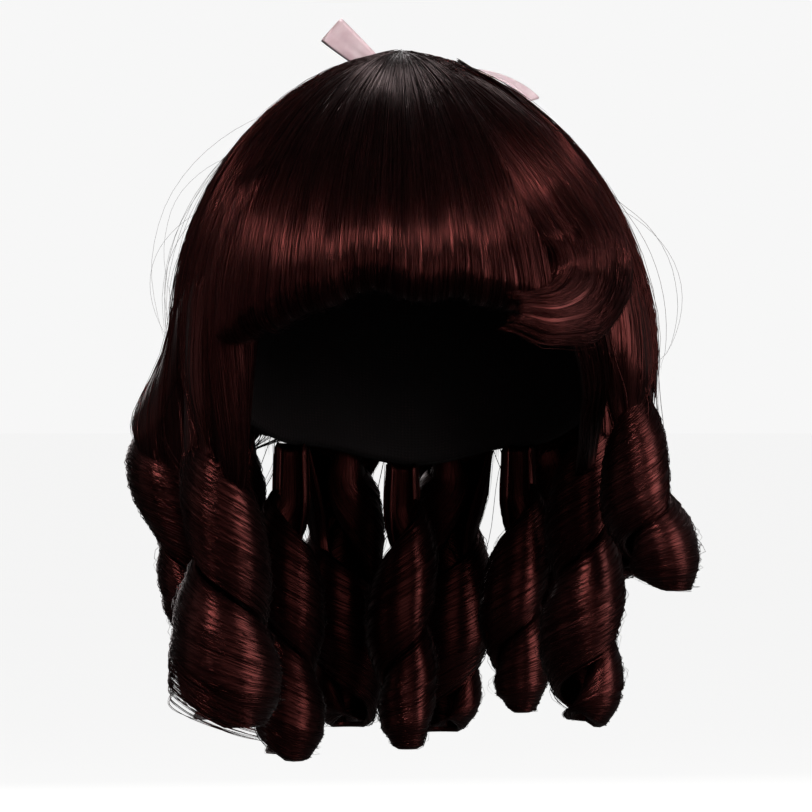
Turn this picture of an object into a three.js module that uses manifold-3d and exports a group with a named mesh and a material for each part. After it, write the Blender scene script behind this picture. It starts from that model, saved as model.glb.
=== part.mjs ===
// A ringlet wig: a sewn cap, combed crown hair, a rolled fringe, a temple wave, ringlets and a ribbon bow.
// Millimetres, +Z up. The wig faces -Y. Left and right are as seen from the front, so left is -X.
// The origin is the top of the hollow, where the crown of the head sits.
import * as THREE from "three";
import Module from "manifold-3d";

const wasm = await Module();
wasm.setup();

// Driving sizes
const GAP = 0.35; // left between pieces that rest on each other
const CAP_WALL = 1.5;
const ROOT = 1.5; // how far inside the cap the hair starts, before the cap is cut from it
const HANG = 100; // drop below the widest level for each whole step of level
const SEAM_LEVEL = 0.0013; // half of a seam's gap, as a step of level

// Domes: half width, reach to the front and to the back, heights of the apex and of the widest level,
// how sharply the top rounds over, how far the apex leans to +X and how much the hanging wall draws in.
const HEAD = { halfWidth: 77, front: 96, back: 97, apex: 0, widest: -95, power: 1, lean: 0, tuck: 0.1 };
const HAIR = {
  halfWidth: 94.5, front: 109, back: 113, apex: 10, widest: -105, power: 1.1, lean: -5, tuck: 0.1,
};

// Lower edge of the cap, by azimuth from the front, the same on both sides
const CAP_EDGE = [
  { azimuth: 0, z: -44 },
  { azimuth: 28, z: -48 },
  { azimuth: 62, z: -115 },
  { azimuth: 100, z: -124 },
  { azimuth: 145, z: -142 },
  { azimuth: 180, z: -150 },
];
const COLUMNS = 32; // round the cap and the crown hair
const CAP_ROWS = { crown: 3, upper: 5, lower: 8 }; // rows down the cap at the seams and at the edge
const CAP_SEAMS = { crown: -25, brow: -60 }; // heights of the seams round the cap

// The cap is sewn from panels, each between two columns, counted from the front, and two of the rows above.
const CAP_PANELS = [
  { name: "cap_front", from: -4, to: 4, top: "crown", bottom: "lower" },
  { name: "cap_left_upper", from: -12, to: -4, top: "crown", bottom: "upper" },
  { name: "cap_left_lower", from: -12, to: -4, top: "upper", bottom: "lower" },
  { name: "cap_right_upper", from: 4, to: 12, top: "crown", bottom: "upper" },
  { name: "cap_right_lower", from: 4, to: 12, top: "upper", bottom: "lower" },
  { name: "cap_back_upper", from: 12, to: 20, top: "crown", bottom: "upper" },
  { name: "cap_back_lower", from: 12, to: 20, top: "upper", bottom: "lower" },
];
const BROW_PANEL = 44; // azimuth within which the front panel has no brow seam

// The crown hair ends just above the cap's edge, and has shallow locks combed down it.
const CROWN = { aboveEdge: 3, locks: COLUMNS / 2, lockDepth: 1.3, rows: 8 };

// The fringe: lower edge by azimuth, and how far it stands out from the dome above its roll
const FRINGE = [
  { azimuth: -63, edge: -106, swell: 0 },
  { azimuth: -47, edge: -99, swell: 3 },
  { azimuth: -29, edge: -90, swell: 5 },
  { azimuth: -11, edge: -82, swell: 6 },
  { azimuth: 4, edge: -87, swell: 6 },
  { azimuth: 16, edge: -85, swell: 5 },
  { azimuth: 35, edge: -92, swell: 1 },
];
const FRINGE_TOP = 0.3; // level where it leaves the crown hair
const FRINGE_ROLL = { radius: 12, wall: 7, from: 20, to: -70 }; // the turned-under edge, angles in degrees
const ROLL_CLEARANCE = 20; // degrees past the roll's end for each millimetre of clearance
const FRINGE_OPEN = 1.5; // how far its clearance stands out of the crown hair
const FRINGE_SECTIONS = 16;
const FRINGE_COMBED = 4; // points down the combed part of a section
const FRINGE_ROLLED = 5; // points round the roll

// The temple wave: a lock that sweeps from the crown round to the brow, as seen from the front
const WAVE = [
  { x: 11, z: 6, width: 26, proud: 0, sunk: 4 },
  { x: 27, z: -6, width: 36, proud: 0, sunk: 5 },
  { x: 43, z: -25, width: 44, proud: 2, sunk: 6 },
  { x: 57, z: -48, width: 48, proud: 4, sunk: 7 },
  { x: 65, z: -70, width: 46, proud: 7, sunk: 8 },
  { x: 62, z: -88, width: 34, proud: 8, sunk: 8 },
  { x: 50, z: -96, width: 24, proud: 7, sunk: 6 },
  { x: 38, z: -93, width: 14, proud: 5, sunk: 4 },
];
const WAVE_SECTIONS = 16;
const WAVE_ACROSS = [-1, -0.6, 0, 0.6, 1];

// Ringlets: the barrel's axis at its top and how far it leans by its foot, heights of the first winding and
// of the foot, radius and how much it grows by the foot, turns, hand of the winding, and the side of the
// barrel that the lock comes down on. Those marked under hang from the cap's edge, the others from the rim
// of the crown hair.
const RINGLET_COLUMNS = [
  "name", "x", "y", "leanX", "leanY", "top", "foot", "radius", "flare", "turns", "hand", "side", "under",
];
const RINGLETS = [
  ["left_front", -73, -46, 2, 2, -146, -247, 16, 6, 2.2, 1, -112, false],
  ["left_outer", -97, -2, 16, 6, -131, -223, 16, -3, 2.5, 1, 90, false],
  ["left_side", -88, 43, 4, 4, -138, -215, 16, -0.5, 2.1, 1, 40, false],
  ["left_back", -75.5, 91, 2, 0, -148, -240, 16.5, 0, 2.1, 1, 40, false],
  ["left_low", -49, 70, -2, -8, -164, -266, 15, 1, 2.4, 1, 180, true],
  ["back_left", -30, 115, 2, 2, -156, -256, 18, 0, 2.2, 1, 15, false],
  ["back_low", -5, 85, 0, -12, -168, -262, 14.5, 0, 2.2, -1, 180, true],
  ["back_right", 15, 116, -2, 2, -156, -258, 18, 0, 2.2, -1, -8, false],
  ["right_back", 58, 106, -2, 0, -150, -236, 17.5, -1, 2.1, -1, -29, false],
  ["right_low", 41, 70, -2, -8, -162, -247, 14.5, 0, 2.1, -1, 180, true],
  ["right_rear", 78, 72, 0, 2, -140, -194, 15, 0, 1.6, -1, -20, false],
  ["right_side", 83, 34, 2, 2, -134, -192, 14.5, 0, 1.7, -1, 180, false],
  ["right_front", 65, 5, 0, -4, -140, -250, 15, 2, 2.7, -1, 90, true],
  ["right_outer", 81, -38, 12, 0, -126, -196, 14.5, 3, 1.9, -1, 135, false],
].map((row) => Object.fromEntries(RINGLET_COLUMNS.map((column, i) => [column, row[i]])));
const LOCK = {
  stemWidth: 29, fill: 0.9, camber: 3.8, wall: 5, unwound: 0.12, belowRim: 4, footHeight: 6, intoRim: 1,
};
const LOCK_ACROSS = [-1, -1 / 3, 1 / 3, 1];
const STEPS_PER_TURN = 9;
const STEM_STEPS = 4;

// The bow: a ribbon tied into two loops and two tails, sat on the crown hair behind the apex
const RIBBON = { width: 12, pinched: 7, wall: 1 };
const KNOT = { azimuth: 184, level: 0.32, radius: 4.6, long: 6.5, wide: 6, seat: 0.5 };
const LOOPS = [
  { name: "bow_loop_left", reach: [-25, -8, 21], widthway: [0.8, -0.1, 0.6], swell: 4, rise: 0, start: 6.2 },
  { name: "bow_loop_right", reach: [54, -22, -3], widthway: [0.3, 0.92, 0.15], swell: 2.6, rise: 8, start: 6.7 },
];
const TAILS = [
  { name: "bow_tail_left", turn: -16, length: 62 },
  { name: "bow_tail_right", turn: 15, length: 56 },
];
const TAIL_PINCHED = 4;
const TAIL_START = 0.027; // level between the knot's middle and a tail
const TAIL_SLANT = 4; // how far the cut runs back across the ribbon
const LOOP_STEPS = 16;
const TAIL_STEPS = 6;

const hairMaterial = new THREE.MeshStandardMaterial({ color: "#3a1715", roughness: 0.38, metalness: 0 });
const capMaterial = new THREE.MeshStandardMaterial({ color: "#1c1112", roughness: 0.9, metalness: 0 });
const ribbonMaterial = new THREE.MeshStandardMaterial({ color: "#e6c6cc", roughness: 0.45, metalness: 0 });

const UP = new THREE.Vector3(0, 0, 1);
const { lerp, clamp, smoothstep, degToRad: radians, radToDeg: degrees } = THREE.MathUtils;

// A smooth value between the rows of a short table sorted by its key column.
function along(rows, key, at, column) {
  const last = rows.length - 1;
  const here = clamp(at, rows[0][key], rows[last][key]);
  const next = Math.max(1, rows.findIndex((row) => row[key] >= here));
  const share = (here - rows[next - 1][key]) / (rows[next][key] - rows[next - 1][key]);
  const eased = smoothstep(share, 0, 1);
  return lerp(rows[next - 1][column], rows[next][column], eased);
}

// A point on a dome. Azimuth is in degrees from the front to +X; level is 0 at the apex, 1 at the widest.
function onDome(form, azimuth, level, grow = 0) {
  const round = (Math.min(level, 1) * Math.PI) / 2;
  const hang = Math.max(level - 1, 0);
  const spread = Math.sin(round) ** form.power * (1 - form.tuck * hang * hang);
  const reach = Math.cos(radians(azimuth)) > 0 ? form.front : form.back;
  return new THREE.Vector3(
    (form.halfWidth + grow) * spread * Math.sin(radians(azimuth)) + form.lean * Math.cos(round),
    -(reach + grow) * spread * Math.cos(radians(azimuth)),
    form.widest + (form.apex + grow - form.widest) * Math.cos(round) - hang * HANG,
  );
}

// The level of a dome at a height.
function levelAt(form, z) {
  if (z < form.widest) return 1 + (form.widest - z) / HANG;
  return Math.acos((z - form.widest) / (form.apex - form.widest)) / (Math.PI / 2);
}

// The outward direction of a dome at a point near its surface.
function domeNormal(form, point) {
  const reach = point.y < 0 ? form.front : form.back;
  return new THREE.Vector3(
    point.x / form.halfWidth ** 2,
    point.y / reach ** 2,
    Math.max(point.z - form.widest, 0) / (form.apex - form.widest) ** 2,
  ).normalize();
}

// An indexed geometry from points and triangles, turned so that its faces point out.
function closedGeometry(points, triangles) {
  const cross = new THREE.Vector3();
  const wedge = ([a, b, c]) => cross.crossVectors(points[b], points[c]).dot(points[a]);
  const volume = triangles.reduce((sum, corners) => sum + wedge(corners), 0);
  const turned = volume < 0 ? triangles.map(([a, b, c]) => [a, c, b]) : triangles;
  const geometry = new THREE.BufferGeometry().setFromPoints(points).setIndex(turned.flat());
  return geometry;
}

// A hollow dome between two skins, which are functions of azimuth and of the share of the way to the rim.
function domeWall(skins, columns, rows) {
  const points = [];
  const triangles = [];
  const quad = (a, b, c, d) => triangles.push([a, b, c], [a, c, d]);
  const rings = skins.map((skin, side) => {
    const apex = points.push(skin(0, 0)) - 1;
    for (let row = 1; row <= rows; row++) {
      for (let column = 0; column < columns; column++) {
        points.push(skin((360 * column) / columns, row / rows));
      }
    }
    const at = (row, column) => apex + 1 + (row - 1) * columns + (column % columns);
    for (let column = 0; column < columns; column++) {
      const fan = [apex, at(1, column), at(1, column + 1)];
      triangles.push(side === 0 ? fan : fan.reverse());
      for (let row = 1; row < rows; row++) {
        const corners = [at(row, column), at(row + 1, column), at(row + 1, column + 1), at(row, column + 1)];
        quad(...(side === 0 ? corners : corners.reverse()));
      }
    }
    return at;
  });
  for (let column = 0; column < columns; column++) {
    const [outer, inner] = rings;
    quad(outer(rows, column), inner(rows, column), inner(rows, column + 1), outer(rows, column + 1));
  }
  return closedGeometry(points, triangles);
}

// A wall lofted through sections, each an outer and an inner row of as many points.
function loftWall(sections) {
  const points = sections.flatMap((section) => [...section.outer, ...section.inner]);
  const across = sections[0].outer.length;
  const outer = (section, i) => section * 2 * across + i;
  const inner = (section, i) => outer(section, i) + across;
  const triangles = [];
  const quad = (a, b, c, d) => triangles.push([a, b, c], [a, c, d]);
  for (let s = 0; s < sections.length - 1; s++) {
    for (let i = 0; i < across - 1; i++) {
      quad(outer(s, i), outer(s + 1, i), outer(s + 1, i + 1), outer(s, i + 1));
      quad(inner(s, i + 1), inner(s + 1, i + 1), inner(s + 1, i), inner(s, i));
    }
    quad(outer(s + 1, 0), outer(s, 0), inner(s, 0), inner(s + 1, 0));
    quad(outer(s, across - 1), outer(s + 1, across - 1), inner(s + 1, across - 1), inner(s, across - 1));
  }
  const end = sections.length - 1;
  for (let i = 0; i < across - 1; i++) {
    quad(outer(0, i), outer(0, i + 1), inner(0, i + 1), inner(0, i));
    quad(outer(end, i + 1), outer(end, i), inner(end, i), inner(end, i + 1));
  }
  return closedGeometry(points, triangles);
}

function solidOf(geometry) {
  return new wasm.Manifold(
    new wasm.Mesh({
      numProp: 3,
      vertProperties: new Float32Array(geometry.getAttribute("position").array),
      triVerts: new Uint32Array(geometry.index.array),
    }),
  );
}

function geometryOf(solid) {
  const mesh = solid.getMesh();
  return new THREE.BufferGeometry()
    .setAttribute("position", new THREE.BufferAttribute(mesh.vertProperties, mesh.numProp))
    .setIndex(new THREE.BufferAttribute(mesh.triVerts, 1));
}

// The cap's edge, straight between one column and the next.
function capEdge(azimuth) {
  const column = Math.floor((azimuth * COLUMNS) / 360);
  const share = (azimuth * COLUMNS) / 360 - column;
  const edgeAt = (turn) => {
    const folded = Math.abs(((((turn * 360) / COLUMNS + 180) % 360) + 360) % 360 - 180);
    return along(CAP_EDGE, "azimuth", folded, "z");
  };
  return lerp(edgeAt(column), edgeAt(column + 1), share);
}

function crownRim(azimuth) {
  return capEdge(azimuth) + CROWN.aboveEdge;
}

// The level of a row of the cap at an azimuth.
function capLevel(azimuth, row, below = 0) {
  const crown = levelAt(HEAD, CAP_SEAMS.crown);
  const edge = levelAt(HEAD, capEdge(azimuth) - below);
  const inFront = Math.cos(radians(azimuth)) > Math.cos(radians(BROW_PANEL));
  const upperRows = CAP_ROWS.upper - CAP_ROWS.crown;
  const lowerRows = CAP_ROWS.lower - CAP_ROWS.upper;
  const halfway = lerp(crown, edge, upperRows / (upperRows + lowerRows));
  const brow = inFront ? halfway : levelAt(HEAD, CAP_SEAMS.brow);
  if (row <= CAP_ROWS.crown) return (crown * row) / CAP_ROWS.crown;
  if (row <= CAP_ROWS.upper) return lerp(crown, brow, (row - CAP_ROWS.crown) / upperRows);
  return lerp(brow, edge, (row - CAP_ROWS.upper) / lowerRows);
}

// The whole cap as one wall, for the clearance round it.
function capWall(outer, inner, below) {
  const level = (azimuth, share) => capLevel(azimuth, share * CAP_ROWS.lower, below);
  const skin = (grow) => (azimuth, share) => onDome(HEAD, azimuth, level(azimuth, share), grow);
  return domeWall([skin(outer), skin(inner)], COLUMNS, CAP_ROWS.lower);
}

// The round panel on top of the cap.
function capCrown() {
  const skin = (grow) => (azimuth, share) =>
    onDome(HEAD, azimuth, capLevel(azimuth, share * CAP_ROWS.crown) - (share === 1 ? SEAM_LEVEL : 0), grow);
  return domeWall([skin(CAP_WALL), skin(0)], COLUMNS, CAP_ROWS.crown);
}

// A side panel of the cap, drawn in by half a gap along its seams.
function capPanel({ from, to, top, bottom }) {
  const sections = [];
  const first = CAP_ROWS[top];
  const last = CAP_ROWS[bottom];
  for (let column = from; column <= to; column++) {
    const azimuth = (360 * column) / COLUMNS;
    const inward = (column === from ? 1 : 0) - (column === to ? 1 : 0);
    const place = (row, grow) => {
      const seam = (row === first ? 1 : 0) - (row === last && bottom !== "lower" ? 1 : 0);
      const level = capLevel(azimuth, row) + seam * SEAM_LEVEL;
      const across = HEAD.halfWidth * Math.sin((Math.min(level, 1) * Math.PI) / 2);
      return onDome(HEAD, azimuth + inward * degrees(GAP / 2 / across), level, grow);
    };
    const rows = Array.from({ length: last - first + 1 }, (_, i) => first + i);
    const outer = rows.map((row) => place(row, CAP_WALL));
    const inner = rows.map((row) => place(row, 0));
    sections.push({ outer, inner });
  }
  return loftWall(sections);
}

function crownHair(grow = 0) {
  const outer = (azimuth, share) => {
    const lock = CROWN.lockDepth * Math.cos(radians(azimuth * CROWN.locks)) * Math.sin((share * Math.PI) / 2);
    return onDome(HAIR, azimuth, share * levelAt(HAIR, crownRim(azimuth)), lock + grow);
  };
  const inner = (azimuth, share) => onDome(HEAD, azimuth, share * levelAt(HEAD, crownRim(azimuth)), -ROOT);
  return solidOf(domeWall([outer, inner], COLUMNS, CROWN.rows).translate(0, 0, -grow));
}

// One section of the fringe, in the upright plane at an azimuth.
function fringeSection(azimuth, grow) {
  const { radius, wall, from, to } = FRINGE_ROLL;
  const edge = along(FRINGE, "azimuth", azimuth, "edge");
  const swell = along(FRINGE, "azimuth", azimuth, "swell");
  const rollTop = edge + radius * (1 + Math.sin(radians(from)));
  const outer = [];
  const inner = [];
  for (let i = 0; i < FRINGE_COMBED; i++) {
    const share = i / FRINGE_COMBED;
    const startsAbove = i === 0 ? (1.5 * grow) / HANG : 0;
    const level = lerp(FRINGE_TOP, levelAt(HAIR, rollTop), share) - startsAbove;
    outer.push(onDome(HAIR, azimuth, level, swell * share + (grow > 0 ? FRINGE_OPEN : 0)));
    inner.push(onDome(HEAD, azimuth, level, -ROOT - grow));
  }
  const brow = onDome(HAIR, azimuth, levelAt(HAIR, rollTop), swell);
  const outward = new THREE.Vector3(brow.x, brow.y, 0).normalize();
  const centre = brow.clone().addScaledVector(outward, -radius * Math.cos(radians(from)));
  centre.z = edge + radius;
  for (let i = 0; i < FRINGE_ROLLED; i++) {
    const turn = radians(lerp(from, to - grow * ROLL_CLEARANCE, i / (FRINGE_ROLLED - 1)));
    const round = outward.clone().multiplyScalar(Math.cos(turn)).addScaledVector(UP, Math.sin(turn));
    outer.push(centre.clone().addScaledVector(round, radius + 2 * grow));
    inner.push(centre.clone().addScaledVector(round, radius - wall - grow));
  }
  return { outer, inner };
}

function fringe(grow = 0) {
  const sections = [];
  const ends = grow / 0.45; // degrees that the clearance takes at each end
  for (let i = 0; i <= FRINGE_SECTIONS; i++) {
    const azimuth = lerp(FRINGE[0].azimuth, FRINGE[FRINGE.length - 1].azimuth, i / FRINGE_SECTIONS);
    const past = (i === FRINGE_SECTIONS ? ends : 0) - (i === 0 ? ends : 0);
    sections.push(fringeSection(azimuth + past, grow));
  }
  return solidOf(loftWall(sections));
}

// A point on the front of the hair dome, seen from the front at x and z.
function onHairFront(x, z) {
  const level = levelAt(HAIR, z);
  const widthHere = onDome(HAIR, 90, level).x - onDome(HAIR, 0, level).x;
  const sine = (x - onDome(HAIR, 0, level).x) / widthHere;
  return onDome(HAIR, degrees(Math.asin(clamp(sine, -1, 1))), level);
}

function templeWave(grow = 0) {
  const route = new THREE.CatmullRomCurve3(WAVE.map((row) => onHairFront(row.x, row.z)));
  const sections = [];
  for (let i = 0; i <= WAVE_SECTIONS; i++) {
    const share = i / WAVE_SECTIONS;
    const middle = route.getPoint(share);
    const normal = domeNormal(HAIR, middle);
    const widthway = new THREE.Vector3().crossVectors(normal, route.getTangent(share)).normalize();
    const rows = WAVE.map((row, at) => ({ ...row, at: at / (WAVE.length - 1) }));
    const halfWidth = along(rows, "at", share, "width") / 2 + grow;
    const proud = along(rows, "at", share, "proud") + grow;
    const sunk = along(rows, "at", share, "sunk") + grow;
    const place = (across, height) =>
      middle.clone().addScaledVector(widthway, across * halfWidth).addScaledVector(normal, height);
    sections.push({
      outer: WAVE_ACROSS.map((w) => place(w, (proud + 2) * Math.sqrt(1 - w * w) - 2)),
      inner: WAVE_ACROSS.map((w) => place(w * 0.9, 3 * w * w - sunk)),
    });
  }
  return solidOf(loftWall(sections));
}

// The middle line of a ringlet's lock on its barrel, unrolled: distance round the barrel, and height.
// It winds on past the foot, where the lock is cut off level.
function lockRoute(row, seat, share, stemShare) {
  if (share <= stemShare) {
    return { round: 0, z: lerp(seat, row.top, share / stemShare) };
  }
  const wound = (share - stemShare) / (1 - stemShare);
  const eased = (wound * wound * (1 + LOCK.unwound)) / (wound + LOCK.unwound);
  return {
    round: row.hand * 2 * Math.PI * row.radius * row.turns * eased,
    z: lerp(row.top, row.foot - (LOCK.fill / 2) * lockPitch(row) + LOCK.footHeight, wound),
  };
}

function lockPitch(row) {
  return (row.top - row.foot) / (row.turns - LOCK.fill / 2);
}

// A point on a ringlet's barrel, whose axis leans as it comes down.
function onBarrel(row, round, z, depth) {
  const down = Math.max(0, (row.top - z) / (row.top - row.foot));
  const turn = radians(row.side) + round / row.radius;
  const radius = row.radius + row.flare * down - depth;
  return new THREE.Vector3(
    row.x + row.leanX * down + radius * Math.sin(turn),
    row.y + row.leanY * down - radius * Math.cos(turn),
    z,
  );
}

// A lock that comes straight down from the hair above and then winds into a barrel curl.
function ringlet(row) {
  const headAzimuth = (point) => degrees(Math.atan2(point.x / HAIR.halfWidth, -point.y / HAIR.back));
  const rim = row.under ? capEdge : crownRim;
  const seatAt = (point) => rim(headAzimuth(point)) + LOCK.intoRim;
  const seat = seatAt(onBarrel(row, 0, row.top, LOCK.wall / 2));
  const slope = Math.atan2(lockPitch(row), 2 * Math.PI * row.radius);
  const woundWidth = LOCK.fill * lockPitch(row) * Math.cos(slope);
  const steps = STEM_STEPS + Math.round(row.turns * STEPS_PER_TURN);
  const stemShare = STEM_STEPS / steps;
  const sections = [];
  for (let i = 0; i <= steps; i++) {
    const here = lockRoute(row, seat, i / steps, stemShare);
    const before = lockRoute(row, seat, Math.max(0, i - 0.5) / steps, stemShare);
    const after = lockRoute(row, seat, Math.min(steps, i + 0.5) / steps, stemShare);
    const ahead = new THREE.Vector2(after.round - before.round, after.z - before.z).normalize();
    const wound = smoothstep(i, STEM_STEPS, STEM_STEPS + STEPS_PER_TURN / 2);
    const halfWidth = lerp(LOCK.stemWidth, woundWidth, wound) / 2;
    const reach = Math.abs(ahead.x) * halfWidth; // up and down from the middle line
    const low = Math.max(here.z - reach, row.foot);
    const ceiling = seat - (i > STEM_STEPS ? LOCK.belowRim : 0);
    const high = Math.min(Math.max(here.z + reach, row.foot + LOCK.footHeight), ceiling);
    const kept = reach > 1 ? (high - low) / (2 * reach) : 1;
    const middle = reach > 1 ? (high + low) / 2 : here.z;
    const place = (w, depth) => {
      const aside = w * halfWidth * kept * row.hand;
      const round = here.round - aside * ahead.y;
      const point = onBarrel(row, round, middle + aside * ahead.x, LOCK.camber * w * w + depth);
      point.z += (seatAt(point) - seat) * Math.max(0, 1 - i / STEM_STEPS);
      return point;
    };
    sections.push({
      outer: LOCK_ACROSS.map((w) => place(w, 0)),
      inner: LOCK_ACROSS.map((w) => place(w, LOCK.wall)),
    });
  }
  return solidOf(loftWall(sections));
}

// A flat ribbon along stations, each with a middle, the way across, the way through and a width.
function ribbon(stations) {
  return loftWall(stations.map(({ middle, widthway, through, width, slant = 0, ahead }) => {
    const corner = (w, side) => {
      const point = middle.clone().addScaledVector(widthway, (w * width) / 2);
      if (slant) point.addScaledVector(ahead, -slant * w);
      return point.addScaledVector(through, (side * RIBBON.wall) / 2);
    };
    return { outer: [-1, 1].map((w) => corner(w, 1)), inner: [-1, 1].map((w) => corner(w, -1)) };
  }));
}

function knotCentre() {
  const seat = onDome(HAIR, KNOT.azimuth, KNOT.level, KNOT.seat);
  return seat.addScaledVector(domeNormal(HAIR, seat), KNOT.radius + GAP);
}

function bowKnot() {
  const ball = new THREE.SphereGeometry(KNOT.radius, 12, 8);
  ball.scale(KNOT.long / KNOT.radius, KNOT.wide / KNOT.radius, 1);
  return ball;
}

// A loop leaves the knot, opens out, folds over at its tip and comes back.
function bowLoop({ reach, widthway, swell, rise, start }) {
  const out = new THREE.Vector3(...reach);
  const across = new THREE.Vector3(...widthway);
  across.addScaledVector(out, -across.dot(out) / out.lengthSq()).normalize();
  const through = new THREE.Vector3().crossVectors(out, across).normalize();
  const first = start / out.length();
  const middleAt = (share) => {
    const opened = Math.sin(Math.PI * share);
    return knotCentre()
      .addScaledVector(out, first + (1 - first) * opened)
      .addScaledVector(UP, rise * 4 * opened * (1 - opened))
      .addScaledVector(through, (0.8 + swell * opened) * Math.cos(Math.PI * share));
  };
  const stations = [];
  for (let i = 0; i <= LOOP_STEPS; i++) {
    const share = i / LOOP_STEPS;
    const ahead = middleAt(Math.min(1, share + 0.02)).sub(middleAt(Math.max(0, share - 0.02))).normalize();
    stations.push({
      middle: middleAt(share),
      widthway: across,
      through: new THREE.Vector3().crossVectors(across, ahead),
      width: lerp(RIBBON.pinched, RIBBON.width, Math.sin(Math.PI * share)),
    });
  }
  return ribbon(stations);
}

// A tail lies down the back of the crown hair and ends in a slanting cut.
function bowTail({ turn, length }) {
  const back = HAIR.back;
  const lift = 0.8 * CROWN.lockDepth + GAP + RIBBON.wall / 2;
  const stations = [];
  const middleAt = (share) => {
    const level = KNOT.level + ((share * length) / back) * (2 / Math.PI) + TAIL_START;
    const place = onDome(HAIR, KNOT.azimuth - turn * (0.15 + 1.1 * share), level);
    return place.addScaledVector(domeNormal(HAIR, place), lift);
  };
  for (let i = 0; i <= TAIL_STEPS; i++) {
    const share = i / TAIL_STEPS;
    const middle = middleAt(share);
    const ahead = middleAt(share + 0.02).sub(middleAt(share - 0.02)).normalize();
    const through = domeNormal(HAIR, middle);
    stations.push({
      middle,
      ahead,
      through,
      widthway: new THREE.Vector3().crossVectors(through, ahead).normalize(),
      width: lerp(TAIL_PINCHED, RIBBON.width, Math.min(1, 2 * share)),
      slant: i === TAIL_STEPS ? TAIL_SLANT * Math.sign(turn) : 0,
    });
  }
  return ribbon(stations);
}

const wig = new THREE.Group();

function add(name, geometry, material) {
  const mesh = new THREE.Mesh(geometry, material);
  mesh.name = name;
  wig.add(mesh);
  return mesh;
}

// The main body of a cut solid, without the shavings beside it.
function mainBody(solid) {
  return solid.decompose().reduce((most, body) => (body.volume() > most.volume() ? body : most));
}

const HEAD_DEPTH = 40; // how far in the clearance round the cap reaches
const capClearance = solidOf(capWall(CAP_WALL + GAP, -HEAD_DEPTH, GAP));
const waveClearance = templeWave(GAP);
const crown = crownHair().subtract(capClearance).subtract(fringe(GAP)).subtract(waveClearance);
const rimClearance = crownHair(GAP).add(solidOf(capWall(CAP_WALL + GAP, -GAP, GAP)));
add("cap_crown", capCrown(), capMaterial);
for (const panel of CAP_PANELS) add(panel.name, capPanel(panel), capMaterial);
add("crown_hair", geometryOf(mainBody(crown)), hairMaterial);
add("fringe", geometryOf(mainBody(fringe().subtract(waveClearance).subtract(capClearance))), hairMaterial);
add("temple_wave", geometryOf(mainBody(templeWave().subtract(capClearance))), hairMaterial);
for (const row of RINGLETS) {
  add(`ringlet_${row.name}`, geometryOf(mainBody(ringlet(row).subtract(rimClearance))), hairMaterial);
}
const knot = add("bow_knot", bowKnot(), ribbonMaterial);
knot.position.copy(knotCentre());
knot.quaternion.setFromUnitVectors(UP, domeNormal(HAIR, knotCentre()));
for (const loop of LOOPS) add(loop.name, bowLoop(loop), ribbonMaterial);
for (const tail of TAILS) add(tail.name, bowTail(tail), ribbonMaterial);

export default wig;
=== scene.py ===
import math
import bmesh
import bpy
import numpy as np
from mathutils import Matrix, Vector


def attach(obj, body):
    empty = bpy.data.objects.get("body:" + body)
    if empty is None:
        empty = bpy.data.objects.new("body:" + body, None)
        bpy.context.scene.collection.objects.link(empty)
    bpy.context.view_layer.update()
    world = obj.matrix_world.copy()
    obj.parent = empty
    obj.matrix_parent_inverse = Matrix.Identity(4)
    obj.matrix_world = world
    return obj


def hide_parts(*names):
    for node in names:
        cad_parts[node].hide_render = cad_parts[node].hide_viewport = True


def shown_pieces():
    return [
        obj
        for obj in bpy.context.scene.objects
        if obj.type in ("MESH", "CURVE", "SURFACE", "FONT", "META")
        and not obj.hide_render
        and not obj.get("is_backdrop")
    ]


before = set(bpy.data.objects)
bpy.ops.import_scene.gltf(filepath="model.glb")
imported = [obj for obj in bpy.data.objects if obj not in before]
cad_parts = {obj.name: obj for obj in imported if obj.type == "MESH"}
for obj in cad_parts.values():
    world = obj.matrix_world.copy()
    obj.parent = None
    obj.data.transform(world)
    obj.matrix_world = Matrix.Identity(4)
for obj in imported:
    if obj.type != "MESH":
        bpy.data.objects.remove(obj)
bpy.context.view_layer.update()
mm = 0.001  # tables below are in millimetres, meshes in metres
print("frame loaded:", len(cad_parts), "nodes")


# sRGB hex to the linear colour that a socket takes
def colour(hexText):
    parts = [int(hexText[i:i + 2], 16) / 255 for i in (1, 3, 5)]
    linear = [c / 12.92 if c <= 0.04045 else ((c + 0.055) / 1.055) ** 2.4 for c in parts]
    return (*linear, 1.0)


# one node, its settings, and what goes into it: a value, or another node's socket
def addNode(tree, kind, inputs=None, **settings):
    node = tree.nodes.new(kind)
    for name, value in settings.items():
        setattr(node, name, value)
    for name, value in (inputs or {}).items():
        if isinstance(value, bpy.types.NodeSocket):
            tree.links.new(value, node.inputs[name])
        else:
            node.inputs[name].default_value = value
    return node


def newMaterial(name):
    material = bpy.data.materials.new(name)
    material.use_nodes = True
    material.node_tree.nodes.clear()
    return material, material.node_tree


def surfaced(material, tree, shader):
    addNode(tree, "ShaderNodeOutputMaterial", {"Surface": shader.outputs[0]})
    return material


def setStops(ramp, stops):
    bar = ramp.color_ramp
    while len(bar.elements) < len(stops):
        bar.elements.new(0.5)
    for element, (at, hexText) in zip(bar.elements, stops):
        element.position = at
        element.color = colour(hexText)


# camera

cameraLook = {
    "distance": 2400,  # from the middle of the wig, level with it
    "acrossPicture": 312.6,  # what the picture's width takes in, through the middle of the wig
    "aim": (-3.5, 0, -126),
    "sensor": 36.0,
    "sees": 100,  # metres
}


def makeCamera(look):
    data = bpy.data.cameras.new("camera")
    data.sensor_width = look["sensor"]
    data.lens = look["sensor"] * look["distance"] / look["acrossPicture"]
    data.clip_end = look["sees"]
    camera = bpy.data.objects.new("camera", data)
    x, y, z = (c * mm for c in look["aim"])
    camera.location = (x, y - look["distance"] * mm, z)
    camera.rotation_euler = (math.pi / 2, 0, 0)
    bpy.context.scene.collection.objects.link(camera)
    bpy.context.scene.camera = camera


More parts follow.
